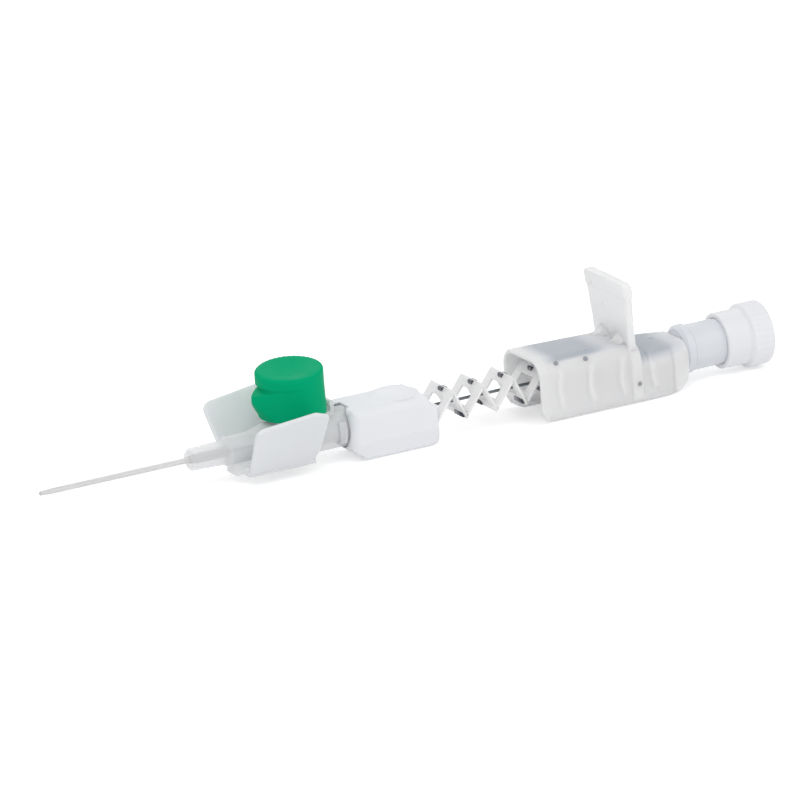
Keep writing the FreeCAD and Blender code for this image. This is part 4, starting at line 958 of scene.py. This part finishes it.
class CANNULA_OT_chamber(CannulaOperator, bpy.types.Operator):
    """Finish the flash chamber and its filter, and make the ribbed vent cap"""
    bl_idname = "cannula.chamber"
    bl_label = "Flash chamber and vent cap"

    def execute(self, context):
        s, c = self.sizes, self.colours
        clear = moulded("chamber_clear", c.chamber_clear, 0.2, grain_depth=0.002, flow=0.98, alpha=0.86)
        dress_nodes(clear, "flash_chamber")
        dress_nodes(porous("filter_porous", c.filter_white), "vent_filter")
        sleeve, ring, start, rear = s.vent_sleeve_radius, s.vent_ring_radius, s.vent_ring_start, s.vent_rear
        bore = sleeve - 0.75 * MM
        inside, dish = rear - 2.05 * MM, rear - 0.7 * MM
        profile = rounded([
            (inside, 0, 0),
            (inside, bore, 0.1 * MM),
            (s.vent_front, bore, 0.12 * MM),
            (s.vent_front, sleeve, 0.25 * MM),
            (start - 0.4 * MM, sleeve, 0.3 * MM),
            (start, ring, 0.3 * MM),
            (rear, ring, 0.55 * MM),
            (rear, ring - 1.1 * MM, 0.25 * MM),
            (dish, ring - 1.4 * MM, 0.25 * MM),
            (dish, 0, 0),
        ], 8)[:-8]
        profile = spread(np.vstack([profile, [[dish, 0]]]), 0.16 * MM, closed=False)
        along, reach = profile.T
        band = ramp(along, start, 0.3 * MM) * ramp(-along, 0.35 * MM - rear, 0.3 * MM)
        band = band * ramp(reach, ring - 0.5 * MM, 0.3 * MM)
        grid = turned_grid(profile, s.vent_ribs * 10, s.vent_ribs, s.vent_rib_depth, band, 3.0)
        vent = grid_mesh("vent_shell", grid, wrap_columns=True)
        white = moulded("vent_white", c.vent_white, 0.42, flow=0.985, subsurface_weight=0.15,
                        subsurface_scale=0.0015)
        dress(vent, white)
        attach(vent, "vent")
        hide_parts("vent_cap")
        return {"FINISHED"}


class CANNULA_OT_stage(CannulaOperator, bpy.types.Operator):
    """Make the pale floor, the soft lamps, the white surroundings and the camera"""
    bl_idname = "cannula.stage"
    bl_label = "Stage, lamps and camera"

    def seen(self, tree):
        """1 for rays from the camera, from gloss and through clear pieces, else 0."""
        path = add_node(tree, "ShaderNodeLightPath")
        total = path.outputs["Is Camera Ray"]
        for ray in ("Is Glossy Ray", "Is Transmission Ray"):
            both = {0: total, 1: path.outputs[ray]}
            adder = add_node(tree, "ShaderNodeMath", both, operation="ADD", use_clamp=True)
            total = adder.outputs["Value"]
        return total

    def floor(self):
        """A pale sheet just under the cannula, that glows by 0.14, and by 0.26 more where it is seen."""
        level = CAD_BOX[0].z - 0.02 * MM
        side = np.linspace(-0.6, 0.6, 5)
        points = np.stack(np.broadcast_arrays(side[:, None] + 0.04, side[None], level), -1)
        piece = grid_mesh("studio_floor", points)
        if piece.data.polygons[0].normal.z < 0:
            piece.data.flip_normals()
        material = bpy.data.materials.new("floor_pale")
        tree = empty_tree(material)
        pale = add_node(tree, "ShaderNodeBsdfDiffuse", {"Color": (*self.colours.floor_pale, 1)})
        inputs = {0: self.seen(tree), 1: 0.26, 2: 0.14}
        lift = add_node(tree, "ShaderNodeMath", inputs, operation="MULTIPLY_ADD")
        glow = add_node(tree, "ShaderNodeEmission", {"Strength": lift.outputs["Value"]})
        both = add_node(tree, "ShaderNodeAddShader", {0: pale.outputs["BSDF"], 1: glow.outputs["Emission"]})
        add_node(tree, "ShaderNodeOutputMaterial", {"Surface": both.outputs["Shader"]})
        piece.data.materials.append(material)

    def surroundings(self):
        """White all round, at 0.75 as a light and at 1 where it is seen."""
        world = bpy.data.worlds.new("studio")
        bpy.context.scene.world = world
        tree = empty_tree(world)
        inputs = {"To Min": 0.75, "To Max": 1.0, "Value": self.seen(tree)}
        level = add_node(tree, "ShaderNodeMapRange", inputs)
        sky = add_node(tree, "ShaderNodeBackground", {"Strength": level.outputs["Result"]})
        add_node(tree, "ShaderNodeOutputWorld", {"Surface": sky.outputs["Background"]})

    def lamp(self, name, place, power, size):
        """A round lamp aimed at the cannula's middle."""
        data = bpy.data.lights.new(name, "AREA")
        data.shape, data.size, data.energy = "DISK", size, power
        lamp = placed(name, data)
        lamp.location = place
        aim = Vector((0.04, 0, 0)) - Vector(place)
        lamp.rotation_euler = aim.to_track_quat("-Z", "Y").to_euler()

    def camera(self):
        """Looks from the left front, a little above, with the object's long axis rising to the right."""
        turn, rise, roll = (math.radians(angle) for angle in (-27.1, 17.4, -4.0))
        back = Vector((math.sin(turn) * math.cos(rise), -math.cos(turn) * math.cos(rise), math.sin(rise)))
        level = Vector((math.cos(turn), math.sin(turn), 0))
        plumb = back.cross(level)
        right = math.cos(roll) * level + math.sin(roll) * plumb
        up = math.cos(roll) * plumb - math.sin(roll) * level
        data = bpy.data.cameras.new("photo_camera")
        data.sensor_width = 36.0
        data.lens = PIXELS_PER_MM * CAMERA_DISTANCE * data.sensor_width / PICTURE_WIDTH
        data.clip_start, data.clip_end = 0.1, 20.0
        camera = placed("photo_camera", data)
        shift = (2.0 * right + 0.5 * up) / PIXELS_PER_MM     # 2 and 0.5 pixels
        aim = (Vector((38.0, 0, 2.0)) - shift) * MM
        place = aim + back * CAMERA_DISTANCE * MM
        camera.matrix_world = Matrix((*zip(right, up, back, place), (0, 0, 0, 1)))
        bpy.context.scene.camera = camera

    def execute(self, context):
        self.floor()
        self.surroundings()
        self.lamp("key", (-0.35, -0.55, 0.85), 3.2, 0.7)
        self.lamp("fill", (0.6, -0.5, 0.5), 1.2, 0.8)
        self.lamp("back", (0.1, 0.7, 0.6), 1.4, 0.8)
        self.camera()
        context.scene.view_settings.view_transform = "Standard"
        return {"FINISHED"}


OPERATORS = (CANNULA_OT_stage, CANNULA_OT_needle, CANNULA_OT_tube, CANNULA_OT_hub, CANNULA_OT_cap,
             CANNULA_OT_wings, CANNULA_OT_guard, CANNULA_OT_strip, CANNULA_OT_barrel, CANNULA_OT_chamber)


class CANNULA_PT_panel(bpy.types.Panel):
    """Sidebar panel with the sizes, the colours and a button for each group of pieces."""
    bl_idname = "CANNULA_PT_panel"
    bl_label = "Safety Cannula"
    bl_space_type = "VIEW_3D"
    bl_region_type = "UI"
    bl_category = "Cannula"

    def draw(self, context):
        layout = self.layout
        scene = context.scene
        for title, group in (("Sizes", scene.cannula_sizes), ("Colours", scene.cannula_colours)):
            box = layout.box()
            box.label(text=title)
            for name in group.__annotations__:
                box.prop(group, name)
        for operator in OPERATORS:
            layout.operator(operator.bl_idname)


CLASSES = (CannulaSizes, CannulaColours, *OPERATORS, CANNULA_PT_panel)


def register():
    for item in CLASSES:
        bpy.utils.register_class(item)
    bpy.types.Scene.cannula_sizes = bpy.props.PointerProperty(type=CannulaSizes)
    bpy.types.Scene.cannula_colours = bpy.props.PointerProperty(type=CannulaColours)


def unregister():
    del bpy.types.Scene.cannula_colours
    del bpy.types.Scene.cannula_sizes
    for item in reversed(CLASSES):
        bpy.utils.unregister_class(item)


def main():
    """Registers the classes and makes every piece in order; the frame's box is noted when the script starts.
    """
    register()
    for operator in OPERATORS:
        group, name = operator.bl_idname.split(".")
        getattr(getattr(bpy.ops, group), name)()


if __name__ == "__main__":
    main()
